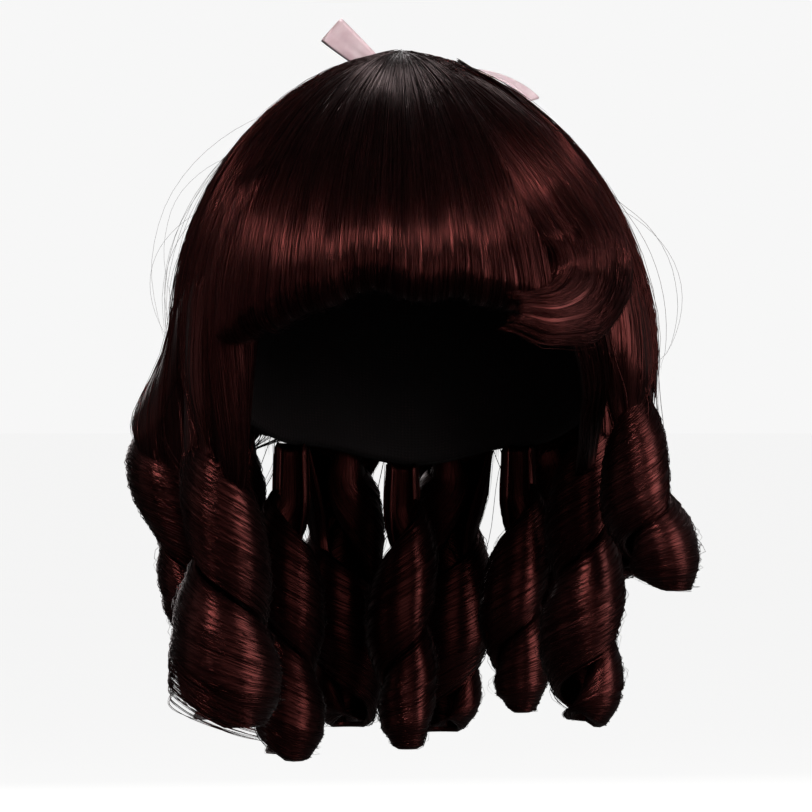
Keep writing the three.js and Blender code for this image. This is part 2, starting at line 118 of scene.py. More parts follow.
makeCamera(cameraLook)
print("camera set")


# materials

hairLook = {
    "fibre": 0.55, "fibreRun": 60,  # mm across and along a streak, coarser than the real 0.08 so that it shows
    "lock": 3.0, "lockRun": 90,  # mm across and along a small lock
    "shades": [(0.22, "#040202"), (0.5, "#0d0505"), (0.8, "#200c0c")],
    "gloss": "#ff8078", "rough": (0.19, 0.37),
    "relief": 0.3,  # mm
}


# modacrylic wig fibre, extruded and combed straight: dark burgundy, with red streaky bands of gloss
# across the comb
def combedFibre(look):
    material, tree = newMaterial("modacrylic fibre combed")
    comb = addNode(tree, "ShaderNodeUVMap", uv_map="comb")
    streak = addNode(tree, "ShaderNodeMapping", {
        "Vector": comb.outputs[0], "Scale": (1 / look["fibre"], 1 / look["fibreRun"], 1),
    })
    fibres = addNode(tree, "ShaderNodeTexNoise", {"Vector": streak.outputs[0], "Scale": 1.0, "Detail": 2.0})
    broad = addNode(tree, "ShaderNodeMapping", {
        "Vector": comb.outputs[0], "Scale": (1 / look["lock"], 1 / look["lockRun"], 1),
    })
    locks = addNode(tree, "ShaderNodeTexNoise", {"Vector": broad.outputs[0], "Scale": 1.0, "Detail": 1.0})
    mixed = addNode(tree, "ShaderNodeMath", {
        0: fibres.outputs["Fac"], 1: locks.outputs["Fac"],
    }, operation="ADD")
    half = addNode(tree, "ShaderNodeMath", {0: mixed.outputs[0], 1: 0.5}, operation="MULTIPLY")
    shade = addNode(tree, "ShaderNodeValToRGB", {"Fac": half.outputs[0]})
    setStops(shade, look["shades"])
    rough = addNode(tree, "ShaderNodeMapRange", {
        "Value": fibres.outputs["Fac"], "To Min": look["rough"][0], "To Max": look["rough"][1],
    })
    bump = addNode(tree, "ShaderNodeBump", {
        "Height": fibres.outputs["Fac"], "Strength": 0.9, "Distance": look["relief"] * mm,
    })
    across = addNode(tree, "ShaderNodeTangent", direction_type="UV_MAP", uv_map="comb")
    skin = addNode(tree, "ShaderNodeBsdfPrincipled", {
        "Base Color": shade.outputs[0], "Roughness": rough.outputs[0], "Normal": bump.outputs[0],
        "Tangent": across.outputs[0], "Anisotropic": 0.55, "IOR": 1.55, "Specular Tint": colour(look["gloss"]),
    })
    return surfaced(material, tree, skin)


satinLook = {
    "thread": 0.5,  # mm between the ribs of the weave, drawn coarser than the real 0.2 so that it shows
    "cloud": 25 / 3,  # mm across a soft change of shade
    "shades": [(0.3, "#d9b4bb"), (0.7, "#efd6d9")], "rough": (0.3, 0.48),
    "relief": 0.1,  # mm
}
waveRepeat = 0.314  # how often a wave texture of scale 1 comes round


# polyester satin ribbon, woven with long floats: pale pink, with a soft milky sheen and fine ribs across
def wovenSatin(look):
    material, tree = newMaterial("polyester satin woven")
    comb = addNode(tree, "ShaderNodeUVMap", uv_map="comb")
    ribs = addNode(tree, "ShaderNodeTexWave", {
        "Vector": comb.outputs[0], "Scale": waveRepeat / look["thread"], "Distortion": 0.6, "Detail": 1.0,
    }, bands_direction="Y")
    cloud = addNode(tree, "ShaderNodeTexNoise", {
        "Vector": comb.outputs[0], "Scale": 1 / look["cloud"], "Detail": 3.0,
    })
    shade = addNode(tree, "ShaderNodeValToRGB", {"Fac": cloud.outputs["Fac"]})
    setStops(shade, look["shades"])
    rough = addNode(tree, "ShaderNodeMapRange", {
        "Value": cloud.outputs["Fac"], "To Min": look["rough"][0], "To Max": look["rough"][1],
    })
    bump = addNode(tree, "ShaderNodeBump", {
        "Height": ribs.outputs["Fac"], "Strength": 0.25, "Distance": look["relief"] * mm,
    })
    across = addNode(tree, "ShaderNodeTangent", direction_type="UV_MAP", uv_map="comb")
    skin = addNode(tree, "ShaderNodeBsdfPrincipled", {
        "Base Color": shade.outputs[0], "Roughness": rough.outputs[0], "Normal": bump.outputs[0],
        "Tangent": across.outputs[0], "Anisotropic": 0.4, "Sheen Weight": 0.25, "Sheen Roughness": 0.4,
    })
    return surfaced(material, tree, skin)


netLook = {
    "mesh": 1.6, "cloud": 20,  # mm between the holes of the net, and across a soft change of shade
    "shades": [(0.25, "#1c1213"), (0.6, "#4b3739")], "rough": (0.7, 0.92),
    "relief": 0.4,  # mm
}


# nylon power net, warp-knitted: dull and nearly black, with rows of small round holes
def knittedNet(look):
    material, tree = newMaterial("nylon net knitted")
    comb = addNode(tree, "ShaderNodeUVMap", uv_map="comb")
    holes = addNode(tree, "ShaderNodeTexVoronoi", {
        "Vector": comb.outputs[0], "Scale": 1 / look["mesh"], "Randomness": 0.15,
    })
    cloud = addNode(tree, "ShaderNodeTexNoise", {
        "Vector": comb.outputs[0], "Scale": 1 / look["cloud"], "Detail": 3.0,
    })
    mixed = addNode(tree, "ShaderNodeMath", {
        0: holes.outputs["Distance"], 1: cloud.outputs["Fac"],
    }, operation="MULTIPLY")
    shade = addNode(tree, "ShaderNodeValToRGB", {"Fac": mixed.outputs[0]})
    setStops(shade, look["shades"])
    rough = addNode(tree, "ShaderNodeMapRange", {
        "Value": cloud.outputs["Fac"], "To Min": look["rough"][0], "To Max": look["rough"][1],
    })
    bump = addNode(tree, "ShaderNodeBump", {
        "Height": holes.outputs["Distance"], "Strength": 0.7, "Distance": look["relief"] * mm,
    })
    skin = addNode(tree, "ShaderNodeBsdfPrincipled", {
        "Base Color": shade.outputs[0], "Roughness": rough.outputs[0], "Normal": bump.outputs[0],
        "Sheen Weight": 0.03, "Sheen Roughness": 0.5,
    })
    return surfaced(material, tree, skin)


hairFinish = combedFibre(hairLook)
ribbonFinish = wovenSatin(satinLook)
capFinish = knittedNet(netLook)
print("materials made")


# shared shapes

# domes: half width, reach to the front and back, heights of the apex and of the widest level,
# how sharply the top rounds over, lean of the apex to +X and how much the hanging wall draws in
capDome = {
    "halfWidth": 77, "front": 96, "back": 97, "apex": 0, "widest": -95, "power": 1, "lean": 0, "tuck": 0.1,
}
hairDome = {
    "halfWidth": 94.5, "front": 109, "back": 113, "apex": 10, "widest": -105, "power": 1.1, "lean": -5,
    "tuck": 0.1,
}
hangStep = 100  # drop below the widest level for each whole step of level

# lower edge of the cap by azimuth from the front, the same on both sides
capEdgeRows = [
    {"azimuth": 0, "z": -44}, {"azimuth": 28, "z": -48}, {"azimuth": 62, "z": -115},
    {"azimuth": 100, "z": -124}, {"azimuth": 145, "z": -142}, {"azimuth": 180, "z": -150},
]
crownAboveEdge = 3


def smooth(share):
    share = np.clip(share, 0, 1)
    return share * share * (3 - 2 * share)


# rises from 0 to 1 over a stretch that begins at a place
def rising(at, begins, over):
    return smooth((at - begins) / over)


def unit(vectors):
    return vectors / np.maximum(np.linalg.norm(vectors, axis=-1, keepdims=True), 1e-9)


# a short table read smoothly between its rows
def between(rows, key, at, column):
    keys = np.array([row[key] for row in rows], float)
    values = np.array([row[column] for row in rows], float)
    after = np.clip(np.searchsorted(keys, at), 1, len(keys) - 1)
    share = smooth((at - keys[after - 1]) / (keys[after] - keys[after - 1]))
    return values[after - 1] + (values[after] - values[after - 1]) * share


def onDome(form, azimuth, level, grow=0.0):
    turn = np.radians(azimuth)
    roundOver = np.minimum(level, 1) * np.pi / 2
    hang = np.maximum(level - 1, 0)
    spread = np.sin(roundOver) ** form["power"] * (1 - form["tuck"] * hang ** 2)
    reach = np.where(np.cos(turn) > 0, form["front"], form["back"])
    x = (form["halfWidth"] + grow) * spread * np.sin(turn) + form["lean"] * np.cos(roundOver)
    y = -(reach + grow) * spread * np.cos(turn)
    z = form["widest"] + (form["apex"] + grow - form["widest"]) * np.cos(roundOver) - hang * hangStep
    return np.stack(np.broadcast_arrays(x, y, z), -1)


def levelAt(form, z):
    above = np.clip((z - form["widest"]) / (form["apex"] - form["widest"]), 0, 1)
    return np.where(z < form["widest"], 1 + (form["widest"] - z) / hangStep, np.arccos(above) / (np.pi / 2))


def domeNormal(form, points):
    reach = np.where(points[..., 1] < 0, form["front"], form["back"])
    rise = np.maximum(points[..., 2] - form["widest"], 0) / (form["apex"] - form["widest"]) ** 2
    return unit(np.stack([points[..., 0] / form["halfWidth"] ** 2, points[..., 1] / reach ** 2, rise], -1))


# azimuth of a place on the hair, in degrees from the front
def hairAzimuth(x, y):
    return np.degrees(np.arctan2(x / hairDome["halfWidth"], -y / hairDome["back"]))


def capEdge(azimuth):
    return between(capEdgeRows, "azimuth", np.abs((azimuth + 180) % 360 - 180), "z")


def crownRim(azimuth):
    return capEdge(azimuth) + crownAboveEdge


hillCells = 256
hillTable = np.random.default_rng(11).random((hillCells, hillCells))


# soft random values from 0 to 1, which come round again after so many cells across
def hills(across, along, cells=hillCells):
    column, row = np.floor(across).astype(int), np.floor(along).astype(int)
    a, b = smooth(across - column), smooth(along - row)
    pick = lambda i, j: hillTable[((column + i) % cells) % hillCells, (row + j) % hillCells]
    return (pick(0, 0) * (1 - a) + pick(1, 0) * a) * (1 - b) + (pick(0, 1) * (1 - a) + pick(1, 1) * a) * b


# ridges of combed hair: locks, strands within them and finer strands, sizes in mm
ridgeSizes = [
    {"width": 9.0, "length": 90, "height": 1.5},
    {"width": 5.0, "length": 28, "height": 0.35},
    {"width": 3.4, "length": 70, "height": 0.7},
    {"width": 1.5, "length": 50, "height": 0.45},
]
fewestRidges = 6
ridgeShift = 37  # cells between the part of the table for one size and for the next


def ridges(across, along, girth):
    total = 0
    for i, size in enumerate(ridgeSizes):
        cells = max(fewestRidges, round(girth / size["width"]))
        share = along / size["length"] + ridgeShift * i
        total = total + size["height"] * (hills(across * cells, share, cells) - 0.5)
    return total


def addObject(name, mesh, material):
    mesh.materials.clear()
    mesh.materials.append(material)
    piece = bpy.data.objects.new(name, mesh)
    bpy.context.scene.collection.objects.link(piece)
    return piece


nearEdge = 0.001  # share of a grid that counts as its edge
mergeWithin = 0.01  # mm


# a grid bent to its place by a function of the shares across and along: down the outer side, back up the
# inner side, and the two sides closed together at their edges; an endless one closes round on itself instead
def bentWall(name, place, look, size, material, bakeWidth=0.5, endless=False, inner=None):
    wall = look["wall"]
    bm = bmesh.new()
    bmesh.ops.create_grid(bm, x_segments=look["columns"], y_segments=2 * look["rows"], size=0.5)
    shares = np.array([vert.co[:2] for vert in bm.verts]) + 0.5
    across, down = shares.T
    along = 1 - np.abs(1 - 2 * down)
    edges = along > 1 - nearEdge
    if not endless:
        edges |= (along < nearEdge) | (np.abs(across - 0.5) > 0.5 - nearEdge)
    depth = np.where(down > 0.5, wall + (inner(across, along) if inner else 0), 0)
    points = place(across, along, -np.where(edges, wall / 2, depth)) * mm
    outward = place(across, along, 1.0) * mm - place(across, along, 0.0) * mm
    bake = bm.loops.layers.uv.new("OFBake")
    comb = bm.loops.layers.uv.new("comb")
    for face in bm.faces:
        for loop in face.loops:
            i = loop.vert.index
            loop[bake].uv = (across[i] * bakeWidth, down[i])
            loop[comb].uv = (across[i] * size[0], along[i] * size[1])
    for vert, point in zip(bm.verts, points):
        vert.co = point
    bm.normal_update()
    facing = sum(vert.normal.dot(Vector(outward[vert.index])) for vert in bm.verts if down[vert.index] < 0.5)
    if facing < 0:
        bmesh.ops.reverse_faces(bm, faces=bm.faces[:])
    bmesh.ops.remove_doubles(bm, verts=bm.verts[:], dist=mergeWithin * mm)
    mesh = bpy.data.meshes.new(name)
    bm.to_mesh(mesh)
    bm.free()
    mesh.shade_smooth()
    return addObject(name, mesh, material)


strandShape = {
    "turns": [90, 210, 330],  # three sides round each path
    "taperAt": [0, 0.08, 0.75, 1], "taper": [0.5, 1, 0.9, 0.2],
    "bakeColumns": 40, "bakeMargin": (0.1, 0.05),  # strands take the right half of the bake, skins the left
}


# many tapered strands as one mesh: three sides round each path, closed at both ends
def strandMesh(name, paths, outward, thick, combAcross, combLength, material):
    strands, points = paths.shape[:2]
    ahead = unit(np.gradient(paths, axis=1))
    side = unit(np.cross(ahead, outward))
    up = np.cross(side, ahead)
    turns = np.radians(strandShape["turns"])
    ring = np.cos(turns)[:, None] * side[:, :, None] + np.sin(turns)[:, None] * up[:, :, None]
    taper = np.interp(np.linspace(0, 1, points), strandShape["taperAt"], strandShape["taper"])
    radius = thick[:, None] * taper / 2
    verts = (paths[:, :, None] + radius[:, :, None, None] * ring) * mm
    index = np.arange(strands * points * 3).reshape(strands, points, 3)
    after = np.roll(index, -1, axis=2)
    quads = np.stack([index[:, :-1], index[:, 1:], after[:, 1:], after[:, :-1]], -1).reshape(-1, 4)
    caps = np.concatenate([index[:, 0], index[:, -1, ::-1]])
    loops = np.concatenate([quads.ravel(), caps.ravel()])
    starts = np.concatenate([np.arange(len(quads)) * 4, len(quads) * 4 + np.arange(len(caps)) * 3])
    mesh = bpy.data.meshes.new(name)
    mesh.vertices.add(verts.size // 3)
    mesh.vertices.foreach_set("co", verts.astype(np.float32).ravel())
    mesh.loops.add(len(loops))
    mesh.loops.foreach_set("vertex_index", loops.astype(np.int32))
    mesh.polygons.add(len(starts))
    mesh.polygons.foreach_set("loop_start", starts.astype(np.int32))
    # where each corner lies across and along its strand
    k, j = np.meshgrid(np.arange(points - 1), np.arange(3), indexing="ij")
    cornerAcross = np.stack([j, j, j + 1, j + 1], -1) / 3
    cornerAlong = np.stack([k, k + 1, k + 1, k], -1) / (points - 1)
    across = np.broadcast_to(cornerAcross, (strands, points - 1, 3, 4)).reshape(strands, -1)
    along = np.broadcast_to(cornerAlong, (strands, points - 1, 3, 4)).reshape(strands, -1)
    ends = np.tile(np.array([0, 1, 2]) / 3, (strands, 1))
    order = np.arange(strands)
    columns = strandShape["bakeColumns"]
    bakeRows = math.ceil(strands / columns)
    beside, above = strandShape["bakeMargin"]
    bakeAt = lambda a, b, s: np.stack([
        0.5 + 0.5 * (s % columns + beside + (1 - 2 * beside) * a) / columns,
        (s // columns + above + (1 - 2 * above) * b) / bakeRows], -1)
    combAt = lambda a, b, s: np.stack([combAcross[s] + a * thick[s], b * combLength[s]], -1)
    for layerName, spot in (("OFBake", bakeAt), ("comb", combAt)):
        body = spot(across, along, order[:, None] + np.zeros_like(across, int))
        first = spot(ends, np.zeros_like(ends), order[:, None] + np.zeros_like(ends, int))
        last = spot(ends, np.ones_like(ends), order[:, None] + np.zeros_like(ends, int))
        layer = mesh.uv_layers.new(name=layerName)
        places = np.concatenate([part.reshape(-1, 2) for part in (body, first, last)])
        layer.data.foreach_set("uv", places.astype(np.float32).ravel())
    mesh.update(calc_edges=True)
    mesh.shade_smooth()
    return addObject(name, mesh, material)


# how strands run on any lock
strandRun = {
    "earlyStarts": 1.6, "tuftJitter": 0.3, "gatherFrom": 0.25, "driftCells": 0.7, "driftShift": 11.3,
    "ownWaves": (0.6, 2.2), "liftCells": (400, 1.5), "liftShift": 5.7, "leastLift": 0.8, "unevenLift": 0.4,
    "looseShare": (0.3, 1), "looseThin": 0.6, "shadeRange": 4000,
}
# what the combs below share: tufts in mm, how far strands draw in to them, drift and stray to the sides,
# lift off the skin, the share that is loose, and the thickness, coarser than the real 0.08 so that it shows
strandBase = {
    "tuft": 6, "pull": 0.4, "drifts": 2.0, "drift": 2.5, "stray": 0.8, "lift": (0.1, 1.2),
    "loose": 0.05, "looseLift": 3.0, "thick": (0.2, 0.45),
}


# strands laid over a lock by its own place function
def combStrands(name, place, comb, size):
    dice = np.random.default_rng(comb["seed"])
    count, points = comb["strands"], comb["points"]
    root = dice.uniform(*comb.get("across", (0, 1)), count)
    first, latest = comb["start"]
    start = first + (latest - first) * dice.random(count) ** strandRun["earlyStarts"]
    end = dice.uniform(*comb["end"], count)
    along = start[:, None] + (end - start)[:, None] * np.linspace(0, 1, points)
    # strands drift together, and draw in to the middle of their tuft towards their tips
    tufts = max(2, round(size[0] / comb["tuft"]))
    middle = (np.floor(root * tufts) + 0.5 + strandRun["tuftJitter"] * (dice.random(count) - 0.5)) / tufts
    pull = comb["pull"] * rising(along, strandRun["gatherFrom"], 1 - strandRun["gatherFrom"])
    across = root[:, None] + (middle - root)[:, None] * pull
    drift = hills(across * tufts * strandRun["driftCells"], along * comb["drifts"] + strandRun["driftShift"])
    waves = along * dice.uniform(*strandRun["ownWaves"], count)[:, None]
    own = np.sin(2 * np.pi * (waves + dice.random(count)[:, None]))
    aside = comb["drift"] * (drift - 0.5) + comb["stray"] * own * dice.random(count)[:, None]
    across = across + aside / size[0]
    if "crimp" in comb:
        crimps = along * size[1] / comb["crimp"]["length"] + dice.random(count)[:, None]
        across = across + comb["crimp"]["depth"] * np.sin(2 * np.pi * crimps) / size[0]
    low, high = comb["lift"]
    rise = low + (high - low) * dice.random(count)[:, None] ** 2
    cellsAcross, cellsAlong = strandRun["liftCells"]
    uneven = hills(root[:, None] * cellsAcross, along * cellsAlong + strandRun["liftShift"])
    rise = rise * (strandRun["leastLift"] + strandRun["unevenLift"] * uneven)
    loose = (dice.random(count) < comb["loose"]) * dice.uniform(*strandRun["looseShare"], count)
    loose = loose[:, None]
    rise = rise + loose * comb["looseLift"] * smooth(along) * (0.5 + 0.5 * own)
    if "clear" in comb:
        keep = comb["clear"](across)
        across, along, rise, loose, start, end = (
            part[keep] for part in (across, along, rise, loose, start, end))
    paths = place(across, along, rise)
    outward = unit(place(across, along, rise + 1.0) - paths)
    thick = dice.uniform(*comb["thick"], len(paths)) * np.where(loose[:, 0] > 0, strandRun["looseThin"], 1)
    combAcross = dice.uniform(0, strandRun["shadeRange"], len(paths))
    return strandMesh(name, paths, outward, thick, combAcross, (end - start) * size[1], hairFinish)


# a skin and the strands on it
def combedLock(name, place, look, comb):
    size = (look["width"], look["length"])
    skin = bentWall(name + "_skin", place, look, size, hairFinish)
    return [skin, combStrands(name + "_strands", place, comb, size)]


def joined(*parts):
    bpy.ops.object.select_all(action="DESELECT")
    for part in parts:
        part.select_set(True)
    bpy.context.view_layer.objects.active = parts[0]
    bpy.ops.object.join()
    return parts[0]


def fitted(piece, slot, *nodes):
    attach(piece, "root")
    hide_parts(*nodes)
    return piece


# crown hair

crown = {
    "columns": 320, "rows": 26, "wall": 6.0, "width": 620, "length": 190,
    "underFringe": 5.0,  # how far it lies under the fringe and the wave
    "sunk": 2.2, "apexFill": 0.8, "apexReach": 0.12,  # skin under the outer form, which the strands fill up
    "fullRidges": 0.4,  # level where the ridges have their full height
    "bareTo": 60,  # azimuth, on both sides, where its own strands begin
}
# where the fringe and the wave lie over it, in azimuth and level
coverLook = {"left": -66, "right": 64, "fade": 6, "level": 0.3, "levelFade": 0.08}
crownComb = dict(
    strandBase, seed=21, strands=1800, points=16, start=(0.01, 0.5), end=(0.9, 1.06), tuft=8, pull=0.35,
    drifts=2.2, drift=4.0, lift=(0.1, 1.8), loose=0.04, looseLift=4.0, thick=(0.22, 0.5),
)
# short crimped hair at the top, and single hairs that lie across the others
rootComb = dict(
    strandBase, seed=31, strands=330, points=20, across=(0.22, 0.78), start=(0.0, 0.12), end=(0.2, 0.42),
    tuft=9, pull=0.2, drift=5.0, stray=2.0, lift=(0.4, 2.4), loose=0.15, looseLift=1.5, thick=(0.22, 0.4),
    crimp={"length": 6.0, "depth": 1.8},
)
strayComb = dict(
    strandBase, seed=32, strands=70, points=16, start=(0.05, 0.6), end=(0.5, 1.15), tuft=40, pull=0.3,
    drifts=1.5, drift=40.0, stray=12.0, lift=(0.8, 2.4), loose=0.3, looseLift=4.0, thick=(0.12, 0.18),
)
# single hairs that stand off both sides in open bows
flyaway = {"bow": 17, "cells": 900}
flyComb = dict(
    strandBase, seed=33, strands=15, points=18, start=(0.36, 0.62), end=(0.72, 1.0), tuft=60, pull=0.3,
    drifts=1.5, drift=24.0, stray=9.0, lift=(0.5, 1.5), loose=0.0, thick=(0.12, 0.2),
)
flySides = [{"across": (0.2, 0.29)}, {"across": (0.71, 0.8), "strands": 5, "seed": 34}]


def covered(azimuth, level):
    fromLeft = rising(azimuth, coverLook["left"], coverLook["fade"])
    fromRight = rising(-azimuth, -coverLook["right"], coverLook["fade"])
    return fromLeft * fromRight * rising(level, coverLook["level"], coverLook["levelFade"])


def crownPlace(across, along, lift):
    azimuth = 360 * across - 180
    level = along * levelAt(hairDome, crownRim(azimuth))
    comb = ridges(across, along * crown["length"], crown["width"]) * np.clip(level / crown["fullRidges"], 0, 1)
    under = crown["underFringe"] * covered(azimuth, level) + crown["sunk"]
    under = under - crown["apexFill"] * (1 - smooth(level / crown["apexReach"]))
    return onDome(hairDome, azimuth, level, comb + lift - under)


def crownShows(across):
    return np.abs(360 * across[:, -1] - 180) > crown["bareTo"]


def flyPlace(across, along, lift):
    bow = np.sin(np.pi * (along - along[:, :1]) / (along[:, -1:] - along[:, :1]))
    own = hills(across[:, :1] * flyaway["cells"], along * 0) ** 2
    return crownPlace(across, along, lift + flyaway["bow"] * bow * own)


crownComb["clear"] = crownShows
crownSize = (crown["width"], crown["length"])
crownParts = [bentWall("crown_hair_skin", crownPlace, crown, crownSize, hairFinish, endless=True)]
for comb in (crownComb, rootComb, strayComb):
    crownParts.append(combStrands("crown_strands", crownPlace, comb, crownSize))
for side in flySides:
    crownParts.append(combStrands("crown_flyaways", flyPlace, dict(flyComb, **side), crownSize))
crownPiece = fitted(joined(*crownParts), "hair", "crown_hair")
print("crown hair combed:", len(crownPiece.data.polygons), "faces")


# fringe

# lower edge by azimuth, and how far it stands out from the dome above its roll
fringeRows = [
    {"azimuth": -63, "edge": -106, "swell": -4}, {"azimuth": -47, "edge": -103, "swell": 0},
    {"azimuth": -38, "edge": -99.5, "swell": 4}, {"azimuth": -24, "edge": -92, "swell": 6},
    {"azimuth": -9, "edge": -85, "swell": 6}, {"azimuth": 3, "edge": -89.5, "swell": 6},
    {"azimuth": 11, "edge": -87, "swell": 5.5}, {"azimuth": 18, "edge": -91, "swell": 4.5},
    {"azimuth": 35, "edge": -95, "swell": 1},
]
fringe = {
    "columns": 210, "rows": 34, "wall": 3.5, "width": 190, "length": 125, "sunk": 1.5,
    "top": 0.3, "highest": 0.03, "combed": 0.62,  # levels where it leaves the crown, and share above the roll
    "runsOn": 1.15, "blend": 0.12,  # how far the combed part runs on under the roll, and their blend
    "roll": 12.0, "rollFrom": 20.0, "rollTo": -125.0, "thinned": 0.34, "thinRoll": 0.3,  # thinner at the left
    "tilt": 2.4, "tiltCells": (24, 3.6), "tiltShift": (3.1, 7.7), "fullTilt": 0.5,
    "smoothed": 0.6, "smoothedFrom": 0.55, "smoothedOver": 0.3,  # ridges grow flatter over the roll
}
fringeComb = dict(
    strandBase, seed=22, strands=1350, points=18, start=(-0.32, 0.12), end=(0.86, 1.0), tuft=7, pull=0.45,
    drift=3.5, stray=0.7, lift=(0.1, 1.6), loose=0.03, looseLift=2.0, thick=(0.22, 0.5),
)


def fringePlace(across, along, lift):
    across, along, lift = np.broadcast_arrays(across, along, lift)
    azimuth = fringeRows[0]["azimuth"] + (fringeRows[-1]["azimuth"] - fringeRows[0]["azimuth"]) * across
    edge = between(fringeRows, "azimuth", azimuth, "edge")
    swell = between(fringeRows, "azimuth", azimuth, "swell")
    rollFrom = math.radians(fringe["rollFrom"])
    thin = fringe["thinRoll"]
    roll = fringe["roll"] * (thin + (1 - thin) * smooth(across / fringe["thinned"]))
    rollLevel = levelAt(hairDome, edge + roll * (1 + math.sin(rollFrom)))
    share = along / fringe["combed"]
    level = fringe["top"] + (rollLevel - fringe["top"]) * np.minimum(share, fringe["runsOn"])
    level = np.maximum(level, fringe["highest"])
    comb = ridges(across, along * fringe["length"], fringe["width"])
    comb = comb * np.clip(level / crown["fullRidges"], 0, 1)
    cells, shift = fringe["tiltCells"], fringe["tiltShift"]
    tilts = fringe["tilt"] * (hills(across * cells[0] + shift[0], along * cells[1] + shift[1]) - 0.5)
    comb = comb + tilts * np.clip(level / fringe["fullTilt"], 0, 1)
    comb = comb * (1 - fringe["smoothed"] * rising(along, fringe["smoothedFrom"], fringe["smoothedOver"]))
    comb = comb - fringe["sunk"]
    flat = onDome(hairDome, azimuth, level, swell * np.clip(share, 0, 1) + comb + lift)
    top = onDome(hairDome, azimuth, rollLevel, swell)
    outward = unit(top * (1, 1, 0))
    middle = top - outward * roll[..., None] * math.cos(rollFrom)
    middle[..., 2] = edge + roll
    turn = (along - fringe["combed"]) / (1 - fringe["combed"])
    angle = np.radians(fringe["rollFrom"] + (fringe["rollTo"] - fringe["rollFrom"]) * turn)[..., None]
    reach = (roll + comb + lift)[..., None]
    rolled = middle + reach * (outward * np.cos(angle) + np.sin(angle) * np.array((0, 0, 1)))
    toRoll = rising(along, fringe["combed"] - fringe["blend"] / 2, fringe["blend"])
    return flat + (rolled - flat) * toRoll[..., None]


fringePiece = fitted(joined(*combedLock("fringe", fringePlace, fringe, fringeComb)), "hair", "fringe")
print("fringe rolled:", len(fringePiece.data.polygons), "faces")


# temple wave

# a lock swept from the crown round to the fringe, as seen from the front
waveRows = [
    {"x": 11, "z": 6, "width": 26, "proud": -3}, {"x": 27, "z": -6, "width": 36, "proud": -2.5},
    {"x": 43, "z": -25, "width": 44, "proud": 0}, {"x": 57, "z": -48, "width": 48, "proud": 3.5},
    {"x": 65, "z": -69, "width": 46, "proud": 7}, {"x": 62, "z": -85.5, "width": 32, "proud": 8},
    {"x": 50, "z": -92, "width": 20, "proud": 7}, {"x": 37, "z": -90.5, "width": 13, "proud": 5},
]
wave = {
    "columns": 64, "rows": 48, "wall": 3.0, "width": 44, "length": 165, "edgeSunk": 2.0, "turnedUnder": 115,
}
waveComb = dict(
    strandBase, seed=23, strands=720, points=21, start=(-0.04, 0.25), end=(0.84, 1.06), stray=0.5,
    lift=(0.1, 1.4), thick=(0.22, 0.45),
)


def onHairFront(x, z):
    level = levelAt(hairDome, z)
    middle = onDome(hairDome, 0, level)[..., 0]
    sine = (x - middle) / (onDome(hairDome, 90, level)[..., 0] - middle)
    return onDome(hairDome, np.degrees(np.arcsin(np.clip(sine, -1, 1))), level)


# a smooth line through points, evenly shared between them, straight on past both ends
def through(points, share):
    spans = len(points) - 1
    at = np.clip(share, 0, 1) * spans
    span = np.minimum(np.floor(at).astype(int), spans - 1)
    t = (at - span)[..., None]
    padded = np.concatenate([2 * points[:1] - points[1:2], points, 2 * points[-1:] - points[-2:-1]])
    a, b, c, d = (padded[span + i] for i in range(4))
    line = 2 * b + (c - a) * t + (2 * a - 5 * b + 4 * c - d) * t ** 2 + (3 * b - a - 3 * c + d) * t ** 3
    past = (share - np.clip(share, 0, 1))[..., None] * spans
    return (line + past * np.where((share > 0.5)[..., None], d - b, c - a)) / 2


lineStep = 0.01  # share of a line over which its direction is taken


def directionOf(points, share):
    return unit(through(points, share + lineStep) - through(points, share - lineStep))


waveX, waveZ = (np.array([row[key] for row in waveRows], float) for key in ("x", "z"))
waveMiddle = onHairFront(waveX, waveZ)
waveShares = [dict(row, at=i / (len(waveRows) - 1)) for i, row in enumerate(waveRows)]


def wavePlace(across, along, lift):
    across, along, lift = np.broadcast_arrays(across, along, lift)
    middle = through(waveMiddle, along)
    normal = domeNormal(hairDome, middle)
    widthway = unit(np.cross(normal, directionOf(waveMiddle, along)))
    bend = np.radians(wave["turnedUnder"]) * (2 * across - 1)
    half = between(waveShares, "at", along, "width") / 2
    crest = between(waveShares, "at", along, "proud") + wave["edgeSunk"]
    grow = ridges(across, along * wave["length"], wave["width"]) + lift
    height = (crest + grow) * np.cos(bend) - wave["edgeSunk"]
    return middle + widthway * ((half + grow) * np.sin(bend))[..., None] + normal * height[..., None]


wavePiece = fitted(joined(*combedLock("wave", wavePlace, wave, waveComb)), "hair", "temple_wave")
print("temple wave swept:", len(wavePiece.data.polygons), "faces")


# ringlets

